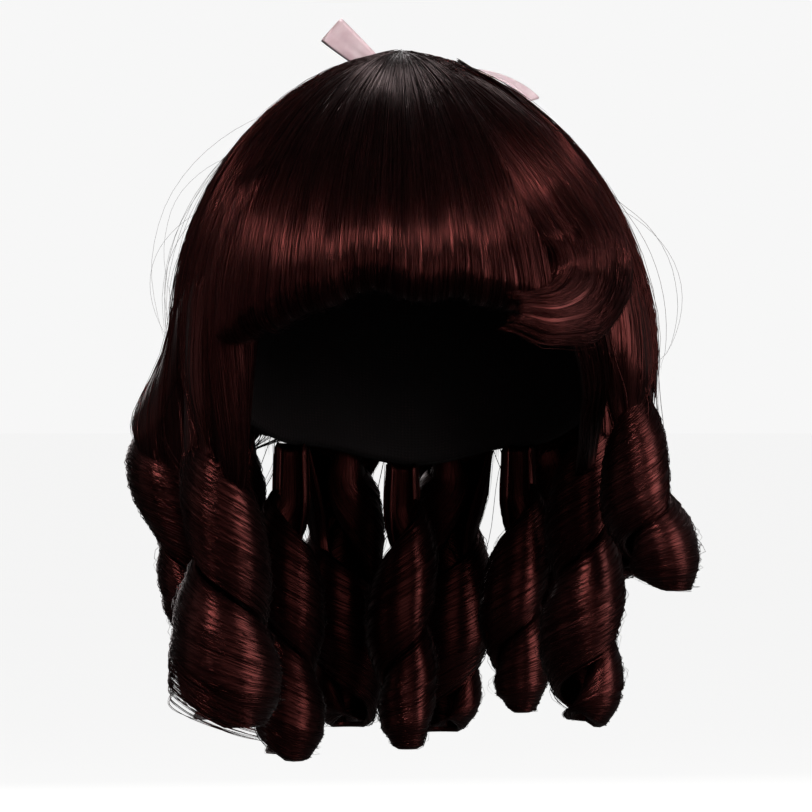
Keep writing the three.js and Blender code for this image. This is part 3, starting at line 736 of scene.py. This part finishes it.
# axis at the top and its lean by the foot, heights of the first winding and of the foot, radius and how much
# it grows by the foot, turns, hand, the side of the barrel that the lock comes down on, whether it hangs from
# under the rim, its strands, and a bulge with its place
ringletKeys = (
    "name", "x", "y", "leanX", "leanY", "top", "foot", "radius", "flare", "turns", "hand", "side", "under",
    "strands", "bulge", "bulgeAt",
)
ringletRows = [dict(zip(ringletKeys, row)) for row in [
    ("left_front", -73, -46, 2, 2, -146, -247, 16, 6, 2.2, 1, -112, False, 120, 2, 0.75),
    ("left_outer", -97, -2, 16, 6, -131, -223, 16, -3, 2.5, 1, 90, False, 100, 4, 0.2),
    ("left_side", -88, 43, 4, 4, -138, -215, 16, -0.5, 2.1, 1, 40, False, 46, 1, 0.5),
    ("left_back", -75.5, 91, 2, 0, -148, -240, 16.5, 0, 2.1, 1, 40, False, 46, 2, 0.6),
    ("left_low", -49, 70, -2, -8, -164, -266, 15, 1, 2.4, 1, 180, True, 76, 2, 0.9),
    ("back_left", -30, 115, 2, 2, -156, -256, 18, 0, 2.2, 1, 15, False, 46, 2, 0.5),
    ("back_low", -5, 85, 0, -12, -168, -262, 14.5, 0, 2.2, -1, 180, True, 46, 1.5, 0.5),
    ("back_right", 15, 116, -2, 2, -156, -258, 18, 0, 2.2, -1, -8, False, 46, 2, 0.6),
    ("right_back", 58, 106, -2, 0, -150, -236, 17.5, -1, 2.1, -1, -29, False, 46, 2, 0.5),
    ("right_low", 41, 70, -2, -8, -162, -247, 14.5, 0, 2.1, -1, 180, True, 60, 1.5, 0.6),
    ("right_rear", 78, 72, 0, 2, -140, -194, 15, 0, 1.6, -1, -20, False, 46, 1, 0.5),
    ("right_side", 83, 34, 2, 2, -134, -192, 14.5, 0, 1.7, -1, 180, False, 46, -2, 0.0),
    ("right_front", 65, 5, 0, -4, -140, -250, 15, 2, 2.7, -1, 90, True, 100, 2, 0.7),
    ("right_outer", 79.5, -38, 13.5, 0, -126, -196, 13, 4.5, 1.9, -1, 135, False, 100, 3, 0.65),
]]
lock = {
    "columns": 30, "rows": 62, "wall": 3.5, "seed": 40,
    "stemWidth": 29, "stemNarrowed": 0.65, "underNarrowed": 0.95, "stemSteps": 4, "stepsPerTurn": 9,
    "fill": 0.9, "camber": 5.5, "unwound": 0.12, "bulgeReach": 0.22, "sunk": 1.0, "combed": 0.6,
    "intoRim": 1, "belowRim": 4, "seatDepth": 2.5, "footHeight": 6,
    "drawnEnd": 0.85, "drawnFrom": 0.8, "drawnOver": 0.14,  # its end draws in to a tip
    "endCurl": 9, "curlFrom": 0.74, "curlOver": 0.2,  # and curls in under the barrel
}
lockComb = dict(
    strandBase, points=38, start=(0.0, 0.12), end=(0.88, 1.0), pull=0.3, drifts=4.0, drift=2.2,
    lift=(0.1, 0.8), loose=0.1, looseLift=3.5,
)


def lockPitch(row):
    return (row["top"] - row["foot"]) / (row["turns"] - lock["fill"] / 2)


# middle line of a lock on its barrel, unrolled: distance round the barrel, and height
def lockRoute(row, seat, share, stemShare):
    wound = np.clip((share - stemShare) / (1 - stemShare), 0, None)
    eased = wound ** 2 * (1 + lock["unwound"]) / (wound + lock["unwound"])
    past = row["foot"] - lock["fill"] / 2 * lockPitch(row) + lock["footHeight"]
    stem = seat + (row["top"] - seat) * share / stemShare
    height = np.where(share <= stemShare, stem, row["top"] + (past - row["top"]) * wound)
    return row["hand"] * 2 * np.pi * row["radius"] * row["turns"] * eased, height


def onBarrel(row, roundWay, z, depth):
    down = np.maximum(0, (row["top"] - z) / (row["top"] - row["foot"]))
    turn = np.radians(row["side"]) + roundWay / row["radius"]
    bulge = row["bulge"] * np.exp(-((down - row["bulgeAt"]) / lock["bulgeReach"]) ** 2)
    radius = row["radius"] + row["flare"] * down + bulge - depth
    x = row["x"] + row["leanX"] * down + radius * np.sin(turn)
    y = row["y"] + row["leanY"] * down - radius * np.cos(turn)
    return np.stack([x, y, z], -1)


def ringletPlacer(row):
    rim = capEdge if row["under"] else crownRim
    seatAt = lambda p: rim(hairAzimuth(p[..., 0], p[..., 1])) + lock["intoRim"]
    seat = float(seatAt(onBarrel(row, np.array(0.0), np.array(float(row["top"])), lock["seatDepth"])))
    slope = math.atan2(lockPitch(row), 2 * math.pi * row["radius"])
    woundWidth = lock["fill"] * lockPitch(row) * math.cos(slope)
    steps = lock["stemSteps"] + round(row["turns"] * lock["stepsPerTurn"])
    stemShare = lock["stemSteps"] / steps
    woundLength = math.hypot(2 * math.pi * row["radius"] * row["turns"], row["top"] - row["foot"])
    length = woundLength + seat - row["top"]
    narrow = lock["underNarrowed"] if row["under"] else lock["stemNarrowed"]

    def place(across, along, lift):
        across, along, lift = np.broadcast_arrays(across, along, lift)
        roundWay, height = lockRoute(row, seat, along, stemShare)
        before = lockRoute(row, seat, np.maximum(along - 0.5 / steps, 0), stemShare)
        after = lockRoute(row, seat, np.minimum(along + 0.5 / steps, 1), stemShare)
        ahead = unit(np.stack([after[0] - before[0], after[1] - before[1]], -1))
        wound = smooth((along * steps - lock["stemSteps"]) / (lock["stepsPerTurn"] / 2))
        half = (lock["stemWidth"] + (woundWidth - lock["stemWidth"]) * wound) / 2
        half = half * (narrow + (1 - narrow) * smooth(along / stemShare))
        # what would pass the rim or the foot is cut off, and the rest draws together
        reach = np.abs(ahead[..., 0]) * half
        ceiling = seat - lock["belowRim"] * smooth(along * steps - lock["stemSteps"])
        low = np.maximum(height - reach, row["foot"])
        high = np.minimum(np.maximum(height + reach, row["foot"] + lock["footHeight"]), ceiling)
        tilted = reach > 1
        kept = np.where(tilted, (high - low) / np.maximum(2 * reach, 1e-6), 1)
        middle = np.where(tilted, (high + low) / 2, height)
        drawn = 1 - lock["drawnEnd"] * rising(along, lock["drawnFrom"], lock["drawnOver"])
        side = 2 * across - 1
        aside = side * half * kept * drawn * row["hand"]
        comb = lock["combed"] * ridges(across, along * length, woundWidth)
        inward = lock["endCurl"] * rising(along, lock["curlFrom"], lock["curlOver"])
        point = onBarrel(row, roundWay - aside * ahead[..., 1], middle + aside * ahead[..., 0],
                         lock["camber"] * side ** 2 + lock["sunk"] + inward - comb - lift)
        point[..., 2] += (seatAt(point) - seat) * np.clip(1 - along * steps / lock["stemSteps"], 0, 1)
        return point

    return place, (woundWidth, length)


# hair that comes down the crown and joins the lock, at its stem or over the outside of its barrel: the
# degrees of the crown that it comes from, and the stretch over which it joins
flow = {
    "start": (-0.45, -0.05), "upCrown": 0.9, "downWall": 0.3, "morePoints": 8,
    "stem": {"gather": 30, "from": -0.08, "over": 0.34}, "outside": {"gather": 42, "from": -0.1, "over": 0.26},
    "outsideBetween": (0.15, 0.6), "outsideTries": 60,
    "outsideStrands": 10, "outsideEnd": (0.3, 0.9), "outsideSeed": 60,
}


def flowPlacer(row, place, joins, at):
    spot = place(np.array(0.5), np.array(at), np.array(0.0))
    azimuth = float(hairAzimuth(spot[0], spot[1]))

    def flowPlace(across, along, lift):
        across, along, lift = np.broadcast_arrays(across, along, lift)
        crownShare = (azimuth + (across - 0.5) * joins["gather"] * row["hand"] + 180) / 360
        crownAlong = 1 + along * np.where(along < 0, flow["upCrown"], flow["downWall"])
        fromCrown = crownPlace(crownShare, crownAlong, lift)
        onLock = place(across, at + (1 - at) * np.maximum(along, 0), lift)
        return fromCrown + (onLock - fromCrown) * rising(along, joins["from"], joins["over"])[..., None]

    return flowPlace


# where the lock first lies on the outer side of its barrel
def outsideAt(row, place):
    shares = np.linspace(*flow["outsideBetween"], flow["outsideTries"])
    spots = place(np.array(0.5), shares, np.array(0.0))
    return float(shares[np.argmax(spots[:, :2] @ np.array((row["x"], row["y"])))])


# hair that spreads from the rim of the crown over the shoulder of a barrel, and closes its top
mantle = {
    "columns": 36, "rows": 20, "wall": 2.0, "width": 56, "length": 80, "seed": 80,
    "round": 230, "gather": 36,  # degrees of the barrel and of the crown that it spreads over
    "start": 0.72, "run": 0.36, "raised": 3.0, "raisedOver": 0.3, "sunk": 1.5,  # on the crown
    "behindFrom": 95, "behindOver": 30, "higherBehind": 0.22, "soonerBehind": 0.1,  # higher at the back
    "joinFrom": 0.25, "joinOver": 0.6,  # where it goes over from the crown to the barrel
    "above": 24, "below": (-10, 32), "hemBack": 0.2, "ragged": 10, "raggedCells": 6,
    "twist": 40, "sway": 14, "swayWaves": (1.2, 0.7), "wavy": 0.7, "waves": 1.3, "waveCells": 3,
    "tuck": 6.5, "tuckFrom": 0.35, "tuckOver": 0.55, "rounded": 3.0, "roundedPower": 4,
}
mantleComb = dict(strandBase, strands=70, points=12, start=(-0.2, 0.2), end=(0.6, 1.0))


def mantlePlacer(row):
    azimuth = float(hairAzimuth(row["x"], row["y"]))
    outward = math.degrees(math.atan2(row["x"], -row["y"]))
    behind = float(rising(abs(azimuth), mantle["behindFrom"], mantle["behindOver"]))
    start = mantle["start"] - mantle["higherBehind"] * behind
    run = mantle["run"] + mantle["higherBehind"] * behind
    joinFrom = mantle["joinFrom"] - mantle["soonerBehind"] * behind

    def place(across, along, lift):
        across, along, lift = np.broadcast_arrays(across, along, lift)
        aside = across - 0.5
        swayAlong, swayAcross = mantle["swayWaves"]
        sway = mantle["sway"] * np.sin(2 * np.pi * (swayAlong * along + swayAcross * across))
        twist = row["hand"] * mantle["twist"] * along ** 2 + sway * along
        turn = np.radians(outward + aside * mantle["round"] + twist - row["side"])
        # its hem follows the upper edge of the lock round the barrel
        hem = row["hand"] * (outward - row["side"]) + mantle["twist"]
        wound = (hem % 360 + row["hand"] * aside * mantle["round"]) / 360
        below = np.clip(lockPitch(row) * (wound - mantle["hemBack"]), *mantle["below"])
        below = below + mantle["ragged"] * (hills(across * mantle["raggedCells"] + row["x"], along * 0) - 0.5)
        height = row["top"] + mantle["above"] - (mantle["above"] + below) * along
        comb = ridges(across, along * mantle["length"], mantle["width"])
        phase = hills(across * mantle["waveCells"] + row["y"], along)
        comb = comb + mantle["wavy"] * np.sin(2 * np.pi * (mantle["waves"] * along + phase))
        rounded = mantle["rounded"] * np.abs(2 * aside) ** mantle["roundedPower"]
        tuck = mantle["tuck"] * rising(along, mantle["tuckFrom"], mantle["tuckOver"]) + rounded
        barrel = onBarrel(row, turn * row["radius"], height, tuck - comb - lift)
        crownShare = (azimuth + aside * mantle["gather"] + 180) / 360
        raised = mantle["raised"] * smooth(along / mantle["raisedOver"]) - mantle["sunk"] - rounded
        fromCrown = crownPlace(crownShare, start + run * along, lift + raised)
        return fromCrown + (barrel - fromCrown) * rising(along, joinFrom, mantle["joinOver"])[..., None]

    return place


# hair that has come loose from the foot of a ringlet and hangs in open loops in front of it
openLoops = {
    "ringlet": "left_front", "width": 12, "length": 62,
    "from": -100, "to": 64,  # degrees round the barrel
    "starts": (36, 12), "ends": (4, -6), "droop": 1.4,  # heights over the foot
    "out": 0.5, "tuckedStart": 4, "tuckedEnd": 6, "tuckOver": 0.25,
}
openComb = dict(
    strandBase, seed=99, strands=60, points=24, start=(0.0, 0.05), end=(0.68, 1.0), tuft=3, pull=0.6,
    drift=1.0, stray=0.5, lift=(0.0, 0.8), loose=0.1, looseLift=1.5, thick=(0.2, 0.4),
)


def loopsPlacer(row):
    def place(across, along, lift):
        across, along, lift = np.broadcast_arrays(across, along, lift)
        turn = np.radians(openLoops["from"] + (openLoops["to"] - openLoops["from"]) * along - row["side"])
        start, end = (high + (low - high) * across for high, low in (openLoops["starts"], openLoops["ends"]))
        droop = np.sin(np.pi / 2 * np.clip(along, 0, 1)) ** openLoops["droop"]
        over = openLoops["tuckOver"]
        tuck = openLoops["tuckedStart"] * (1 - smooth(along / over))
        tuck = tuck + openLoops["tuckedEnd"] * rising(along, 1 - over, over)
        height = row["foot"] + start + (end - start) * droop
        return onBarrel(row, turn * row["radius"], height, tuck - openLoops["out"] - lift)

    return place


# hair from the left end of the fringe, which runs down into that ringlet
sideHair = {
    "columns": 34, "rows": 30, "wall": 1.5, "width": 36, "length": 95,
    "fringe": (-0.02, 0.2), "from": 0.2, "run": 0.375,  # the part of the fringe that it comes from
    "mantle": (0.42, 0.92), "mantleFrom": 0.15,  # and the part of the mantle that it runs into
    "joinFrom": 0.3, "joinOver": 0.5,
    "sunk": 1.2, "rise": 2.6, "riseOver": 0.3, "thinEdge": 2.5, "edgePower": 4,
    "overRoll": 7, "overRollAt": 0.6, "overRollReach": 0.2, "overRollEases": 0.5,  # its swell over the roll
    "endTuck": 2, "endTuckOver": 0.3,
}
sideComb = dict(
    strandBase, seed=98, strands=150, points=18, start=(0.0, 0.25), end=(0.7, 1.0), drift=3.0, stray=1.0,
    loose=0.06, looseLift=4.0,
)


def sidePlacer(mantlePlace):
    def place(across, along, lift):
        across, along, lift = np.broadcast_arrays(across, along, lift)
        border = np.abs(2 * across - 1) ** sideHair["edgePower"]
        swell = np.exp(-((along - sideHair["overRollAt"]) / sideHair["overRollReach"]) ** 2)
        overRoll = sideHair["overRoll"] * swell * smooth(across / sideHair["overRollEases"]) * (1 - border)
        proud = lift - sideHair["sunk"] + sideHair["rise"] * smooth(along / sideHair["riseOver"])
        proud = proud - sideHair["thinEdge"] * border + overRoll
        first, last = sideHair["fringe"]
        fringeAlong = sideHair["from"] + sideHair["run"] * along
        fromFringe = fringePlace(first + (last - first) * across, fringeAlong, proud)
        endTuck = sideHair["endTuck"] * rising(along, 1 - sideHair["endTuckOver"], sideHair["endTuckOver"])
        first, last = sideHair["mantle"]
        mantleAlong = sideHair["mantleFrom"] + (1 - sideHair["mantleFrom"]) * along
        toLock = mantlePlace(first + (last - first) * across, mantleAlong, proud - endTuck)
        joins = rising(along, sideHair["joinFrom"], sideHair["joinOver"])
        return fromFringe + (toLock - fromFringe) * joins[..., None]

    return place


# hair that hangs from under the wave, past the temple, and runs in behind the ringlet there
templeHair = {
    "ringlet": "right_outer", "columns": 20, "rows": 30, "wall": 1.5, "width": 16, "length": 86,
    "camber": 3.0, "narrowed": 0.35, "combed": 0.6, "facing": (0.55, -0.83, 0),
    "route": [(62, -72, -92), (66.5, -63, -105), (68, -53, -118), (66.5, -36, -132), (65, -8, -150)],
}
templeComb = dict(sideComb, seed=97, strands=70)


def templePlace(across, along, lift):
    across, along, lift = np.broadcast_arrays(across, along, lift)
    route = np.array(templeHair["route"], float)
    ahead = directionOf(route, along)
    widthway = unit(np.cross(np.array(templeHair["facing"], float), ahead))
    side = 2 * across - 1
    half = templeHair["width"] / 2 * (1 - templeHair["narrowed"] * smooth(along))
    comb = templeHair["combed"] * ridges(across, along * templeHair["length"], templeHair["width"])
    height = templeHair["camber"] * (1 - side ** 2) + comb + lift
    up = np.cross(ahead, widthway)
    return through(route, along) + widthway * (side * half)[..., None] + up * height[..., None]


for i, row in enumerate(ringletRows):
    node = "ringlet_" + row["name"]
    ringletPlace, ringletSize = ringletPlacer(row)
    parts = [bentWall(node + "_skin", ringletPlace, lock, ringletSize, hairFinish)]
    comb = dict(lockComb, seed=lock["seed"] + i, strands=row["strands"])
    if row["under"]:
        parts.append(combStrands(node + "_strands", ringletPlace, comb, ringletSize))
    else:
        stemPlace = flowPlacer(row, ringletPlace, flow["stem"], 0.0)
        comb.update(start=flow["start"], points=lockComb["points"] + flow["morePoints"])
        parts.append(combStrands(node + "_strands", stemPlace, comb, ringletSize))
        outsidePlace = flowPlacer(row, ringletPlace, flow["outside"], outsideAt(row, ringletPlace))
        comb.update(seed=flow["outsideSeed"] + i, strands=flow["outsideStrands"], end=flow["outsideEnd"],
                    points=lockComb["points"])
        parts.append(combStrands(node + "_outside", outsidePlace, comb, ringletSize))
        mantlePlace = mantlePlacer(row)
        parts += combedLock(node + "_mantle", mantlePlace, mantle, dict(mantleComb, seed=mantle["seed"] + i))
    if row["name"] == openLoops["ringlet"]:
        loopsSize = (openLoops["width"], openLoops["length"])
        parts.append(combStrands(node + "_loops", loopsPlacer(row), openComb, loopsSize))
        parts += combedLock(node + "_side", sidePlacer(mantlePlace), sideHair, sideComb)
    if row["name"] == templeHair["ringlet"]:
        parts += combedLock(node + "_temple", templePlace, templeHair, templeComb)
    fitted(joined(*parts), "hair", node)
print("ringlets wound:", len(ringletRows))


# bow

ribbon = {
    "columns": 10, "rows": 64, "wall": 0.6, "width": 12.0, "pinched": 7.0,
    "halfGap": 0.8, "pleat": 0.5, "pleats": 5, "pleatFade": 1.5,
}
knot = {
    "columns": 36, "rows": 22, "azimuth": 184, "level": 0.32, "seat": 0.5, "gap": 0.35,
    "radius": 4.6, "long": 6.5, "wide": 6.0, "fold": 0.07, "folds": 9, "slant": 1.4,
}
loops = [
    {"name": "bow_loop_left", "reach": (-25, -8, 21), "widthway": (0.8, -0.1, 0.6), "swell": 4, "rise": 0,
     "start": 6.2},
    {"name": "bow_loop_right", "reach": (54, -22, -7), "widthway": (0.3, 0.92, 0.15), "swell": 2.6, "rise": 7,
     "start": 6.7},
]
tails = [
    {"name": "bow_tail_left", "turn": -16, "length": 62},
    {"name": "bow_tail_right", "turn": 15, "length": 56},
]
tailLook = {
    "pinched": 4.0, "openBy": 0.5, "start": 0.027, "turnFrom": 0.15, "turnRun": 1.1, "lift": 1.9,
    "slant": 4.0, "slantOver": 0.15, "ripple": 0.5, "ripples": (9, 3), "pleatFade": 3,
}
ribbonStep = 0.02  # share of a ribbon over which its direction is taken
ribbonTries = 200  # steps in which its length is measured

knotSeat = onDome(hairDome, knot["azimuth"], knot["level"], knot["seat"])
knotMiddle = knotSeat + domeNormal(hairDome, knotSeat) * (knot["radius"] + knot["gap"])


def loopPlacer(loop):
    out = np.array(loop["reach"], float)
    widthway = np.array(loop["widthway"], float)
    widthway = unit(widthway - out * (widthway @ out) / (out @ out))
    face = unit(np.cross(out, widthway))
    first = loop["start"] / np.linalg.norm(out)

    def middle(share):
        opened = np.sin(np.pi * share)[..., None]
        line = knotMiddle + out * (first + (1 - first) * opened)
        line = line + np.array((0, 0, 1)) * loop["rise"] * 4 * opened * (1 - opened)
        return line + face * (ribbon["halfGap"] + loop["swell"] * opened) * np.cos(np.pi * share)[..., None]

    def place(across, along, lift):
        across, along, lift = np.broadcast_arrays(across, along, lift)
        ahead = unit(middle(np.minimum(along + ribbonStep, 1)) - middle(np.maximum(along - ribbonStep, 0)))
        up = np.cross(widthway, ahead)
        opened = np.sin(np.pi * along)
        side = across - 0.5
        width = ribbon["pinched"] + (ribbon["width"] - ribbon["pinched"]) * opened
        pleat = ribbon["pleat"] * np.cos(ribbon["pleats"] * np.pi * side) * (1 - opened) ** ribbon["pleatFade"]
        height = lift + pleat + ribbon["wall"] / 2
        return middle(along) + widthway * (side * width)[..., None] + up * height[..., None]

    line = middle(np.linspace(0, 1, ribbonTries))
    return place, float(np.linalg.norm(np.diff(line, axis=0), axis=1).sum())


def tailPlacer(tail):
    def middle(share):
        level = knot["level"] + share * tail["length"] / hairDome["back"] * 2 / np.pi + tailLook["start"]
        turn = tail["turn"] * (tailLook["turnFrom"] + tailLook["turnRun"] * share)
        spot = onDome(hairDome, knot["azimuth"] - turn, level)
        return spot + domeNormal(hairDome, spot) * tailLook["lift"]

    def place(across, along, lift):
        across, along, lift = np.broadcast_arrays(across, along, lift)
        spot = middle(along)
        ahead = unit(middle(along + ribbonStep) - middle(along - ribbonStep))
        up = domeNormal(hairDome, spot)
        widthway = unit(np.cross(up, ahead))
        side = across - 0.5
        opened = np.minimum(1, along / tailLook["openBy"])
        width = tailLook["pinched"] + (ribbon["width"] - tailLook["pinched"]) * opened
        over = tailLook["slantOver"]
        slant = tailLook["slant"] * np.sign(tail["turn"]) * rising(along, 1 - over, over)
        ripplesAlong, ripplesAcross = tailLook["ripples"]
        ripple = np.sin(ripplesAlong * along + ripplesAcross * side) * along
        ripple = ripple + np.cos(ribbon["pleats"] * np.pi * side) * (1 - along) ** tailLook["pleatFade"]
        height = lift + tailLook["ripple"] * ripple + ribbon["wall"] / 2
        spot = spot + widthway * (side * width)[..., None] - ahead * (2 * side * slant)[..., None]
        return spot + up * height[..., None]

    return place, tail["length"]


for rows, placer, held in ((loops, loopPlacer, "folded"), (tails, tailPlacer, "laid")):
    for row in rows:
        place, length = placer(row)
        size = (ribbon["width"], length)
        piece = bentWall(row["name"] + "_satin", place, ribbon, size, ribbonFinish, bakeWidth=1.0)
        fitted(piece, "ribbon", row["name"])


# the knot: a turn of ribbon drawn tight, its folds running round it
def makeKnot():
    bm = bmesh.new()
    bm.loops.layers.uv.new("OFBake")
    bmesh.ops.create_uvsphere(
        bm, u_segments=knot["columns"], v_segments=knot["rows"], radius=1.0, calc_uvs=True)
    comb = bm.loops.layers.uv.new("comb")
    for face in bm.faces:
        for loop in face.loops:
            x, y, z = loop.vert.co
            loop[comb].uv = (x * knot["long"], math.atan2(y, z) * knot["radius"])
    normal = Vector(domeNormal(hairDome, knotMiddle))
    turned = Vector((0, 0, 1)).rotation_difference(normal).to_matrix()
    for vert in bm.verts:
        x, y, z = vert.co
        fold = 1 + knot["fold"] * math.cos(knot["folds"] * x + knot["slant"] * y) * (1 - x ** 2)
        spot = Vector((x * knot["long"], y * knot["wide"] * fold, z * knot["radius"] * fold))
        vert.co = (turned @ spot + Vector(knotMiddle)) * mm
    mesh = bpy.data.meshes.new("bow_knot")
    bm.to_mesh(mesh)
    bm.free()
    mesh.shade_smooth()
    return addObject("bow_knot_satin", mesh, ribbonFinish)


fitted(makeKnot(), "ribbon", "bow_knot")
print("bow tied")


# wig cap

cap = {
    "columns": 120, "rows": 46, "wall": 1.5, "girth": 547, "length": 220,
    "seamWidth": 5.0, "seamHeight": 0.7, "hem": 7.0, "hemEdge": 2,  # they stand in from the inner side
    "crownSeam": -25, "browSeam": -60, "seamAzimuth": 45,
}
capNodes = [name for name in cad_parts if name.startswith("cap_")]


def capPlace(across, along, lift):
    azimuth = 360 * across - 180
    return onDome(capDome, azimuth, along * levelAt(capDome, capEdge(azimuth)), cap["wall"] + lift)


# seams between the panels and a turned hem, raised on the inner side
def capSeams(across, along):
    azimuth = 360 * across - 180
    x, y, z = onDome(capDome, azimuth, along * levelAt(capDome, capEdge(azimuth))).T
    fromFront = np.abs(azimuth)
    seamAt = cap["seamAzimuth"]
    fromSeam = np.minimum(np.abs(fromFront - seamAt), np.abs(fromFront - 180 + seamAt))
    toSeam = np.where(z > cap["crownSeam"], np.inf, np.radians(fromSeam) * np.hypot(x, y))
    toSeam = np.minimum(toSeam, np.abs(z - cap["crownSeam"]))
    toSeam = np.where(fromFront > seamAt, np.minimum(toSeam, np.abs(z - cap["browSeam"])), toSeam)
    toHem = z - capEdge(azimuth) - cap["hem"]
    seam = smooth(1.5 - 2 * toSeam / cap["seamWidth"])  # flat for half its width, then down at both sides
    return cap["seamHeight"] * np.maximum(seam, smooth(0.5 - toHem / cap["hemEdge"]))


capSize = (cap["girth"], cap["length"])
capPiece = bentWall("cap_net", capPlace, cap, capSize, capFinish, bakeWidth=1.0, endless=True, inner=capSeams)
fitted(capPiece, "cap_cloth", *capNodes)


# stage: pale floor, soft studio light

stage = {
    "floor": -0.40, "reach": 60.0, "sides": 64, "paper": [(0.3, "#e6e5e3"), (0.7, "#eae9e7")],
    "glow": 0.86, "bounce": "#404040", "backdrop": 0.93, "fill": 0.06, "white": (1, 1, 1, 1),
}
# in metres and watts; a grid on a box keeps its light to a cone of so many degrees
softboxes = [
    {"name": "key", "place": (-0.45, -1.32, 1.18), "aim": (0, -0.05, 0.03), "size": (0.9, 0.24), "power": 0.85,
     "spread": 24},
    {"name": "rim", "place": (0.1, 0.95, 1.15), "aim": (0, 0.0, 0.0), "size": (0.8, 0.3), "power": 2.5},
    {"name": "back", "place": (-0.4, 1.8, 0.5), "aim": (0, 0, -0.12), "size": (1.4, 0.9), "power": 7},
    {"name": "left", "place": (-1.45, -0.6, 0.4), "aim": (0, 0, -0.12), "size": (0.9, 1.2), "power": 1.3},
    {"name": "right", "place": (1.35, -0.85, 0.3), "aim": (0, 0, -0.12), "size": (0.9, 1.2), "power": 20},
    {"name": "front", "place": (0.4, -2.0, 0.3), "aim": (0, 0, -0.12), "size": (1.4, 0.9), "power": 3.5},
]


# studio paper, rolled and matt: nearly white, with a faint cloudiness
def mattPaper():
    material, tree = newMaterial("studio paper matt")
    place = addNode(tree, "ShaderNodeTexCoord")
    cloud = addNode(tree, "ShaderNodeTexNoise", {"Vector": place.outputs["Object"], "Scale": 3.0})
    shade = addNode(tree, "ShaderNodeValToRGB", {"Fac": cloud.outputs["Fac"]})
    setStops(shade, stage["paper"])
    seen = addNode(tree, "ShaderNodeLightPath")
    glow = addNode(tree, "ShaderNodeMath", {
        0: seen.outputs["Is Camera Ray"], 1: stage["glow"],
    }, operation="MULTIPLY")
    dim = addNode(tree, "ShaderNodeMixRGB", {
        "Fac": seen.outputs["Is Camera Ray"], "Color1": colour(stage["bounce"]), "Color2": shade.outputs[0],
    })
    skin = addNode(tree, "ShaderNodeBsdfPrincipled", {
        "Base Color": dim.outputs[0], "Roughness": 0.9, "Emission Color": stage["white"],
        "Emission Strength": glow.outputs[0],
    })
    return surfaced(material, tree, skin)


def makeFloor():
    bm = bmesh.new()
    bmesh.ops.create_circle(bm, cap_ends=True, radius=stage["reach"], segments=stage["sides"])
    bmesh.ops.translate(bm, verts=bm.verts[:], vec=(0, 0, stage["floor"]))
    mesh = bpy.data.meshes.new("floor")
    bm.to_mesh(mesh)
    bm.free()
    addObject("floor", mesh, mattPaper())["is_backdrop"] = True


def makeWorld():
    world = bpy.data.worlds.new("studio")
    world.use_nodes = True
    tree = world.node_tree
    tree.nodes.clear()
    seen = addNode(tree, "ShaderNodeLightPath")
    fill = addNode(tree, "ShaderNodeBackground", {"Color": stage["white"], "Strength": stage["fill"]})
    backdrop = addNode(tree, "ShaderNodeBackground", {"Color": stage["white"], "Strength": stage["backdrop"]})
    mix = addNode(tree, "ShaderNodeMixShader", {
        0: seen.outputs["Is Camera Ray"], 1: fill.outputs[0], 2: backdrop.outputs[0],
    })
    addNode(tree, "ShaderNodeOutputWorld", {"Surface": mix.outputs[0]})
    bpy.context.scene.world = world


def makeSoftbox(box):
    data = bpy.data.lights.new(box["name"], "AREA")
    data.shape = "RECTANGLE"
    data.size, data.size_y = box["size"]
    data.energy = box["power"]
    data.spread = math.radians(box.get("spread", 180))
    light = bpy.data.objects.new(box["name"], data)
    light.location = box["place"]
    light.rotation_euler = (Vector(box["aim"]) - Vector(box["place"])).to_track_quat("-Z", "Y").to_euler()
    bpy.context.scene.collection.objects.link(light)


makeFloor()
makeWorld()
for box in softboxes:
    makeSoftbox(box)
bpy.context.scene.view_settings.view_transform = "Standard"
print("stage lit")

triangles = sum(sum(len(face.vertices) - 2 for face in piece.data.polygons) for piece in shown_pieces())
print("triangles in all:", triangles)
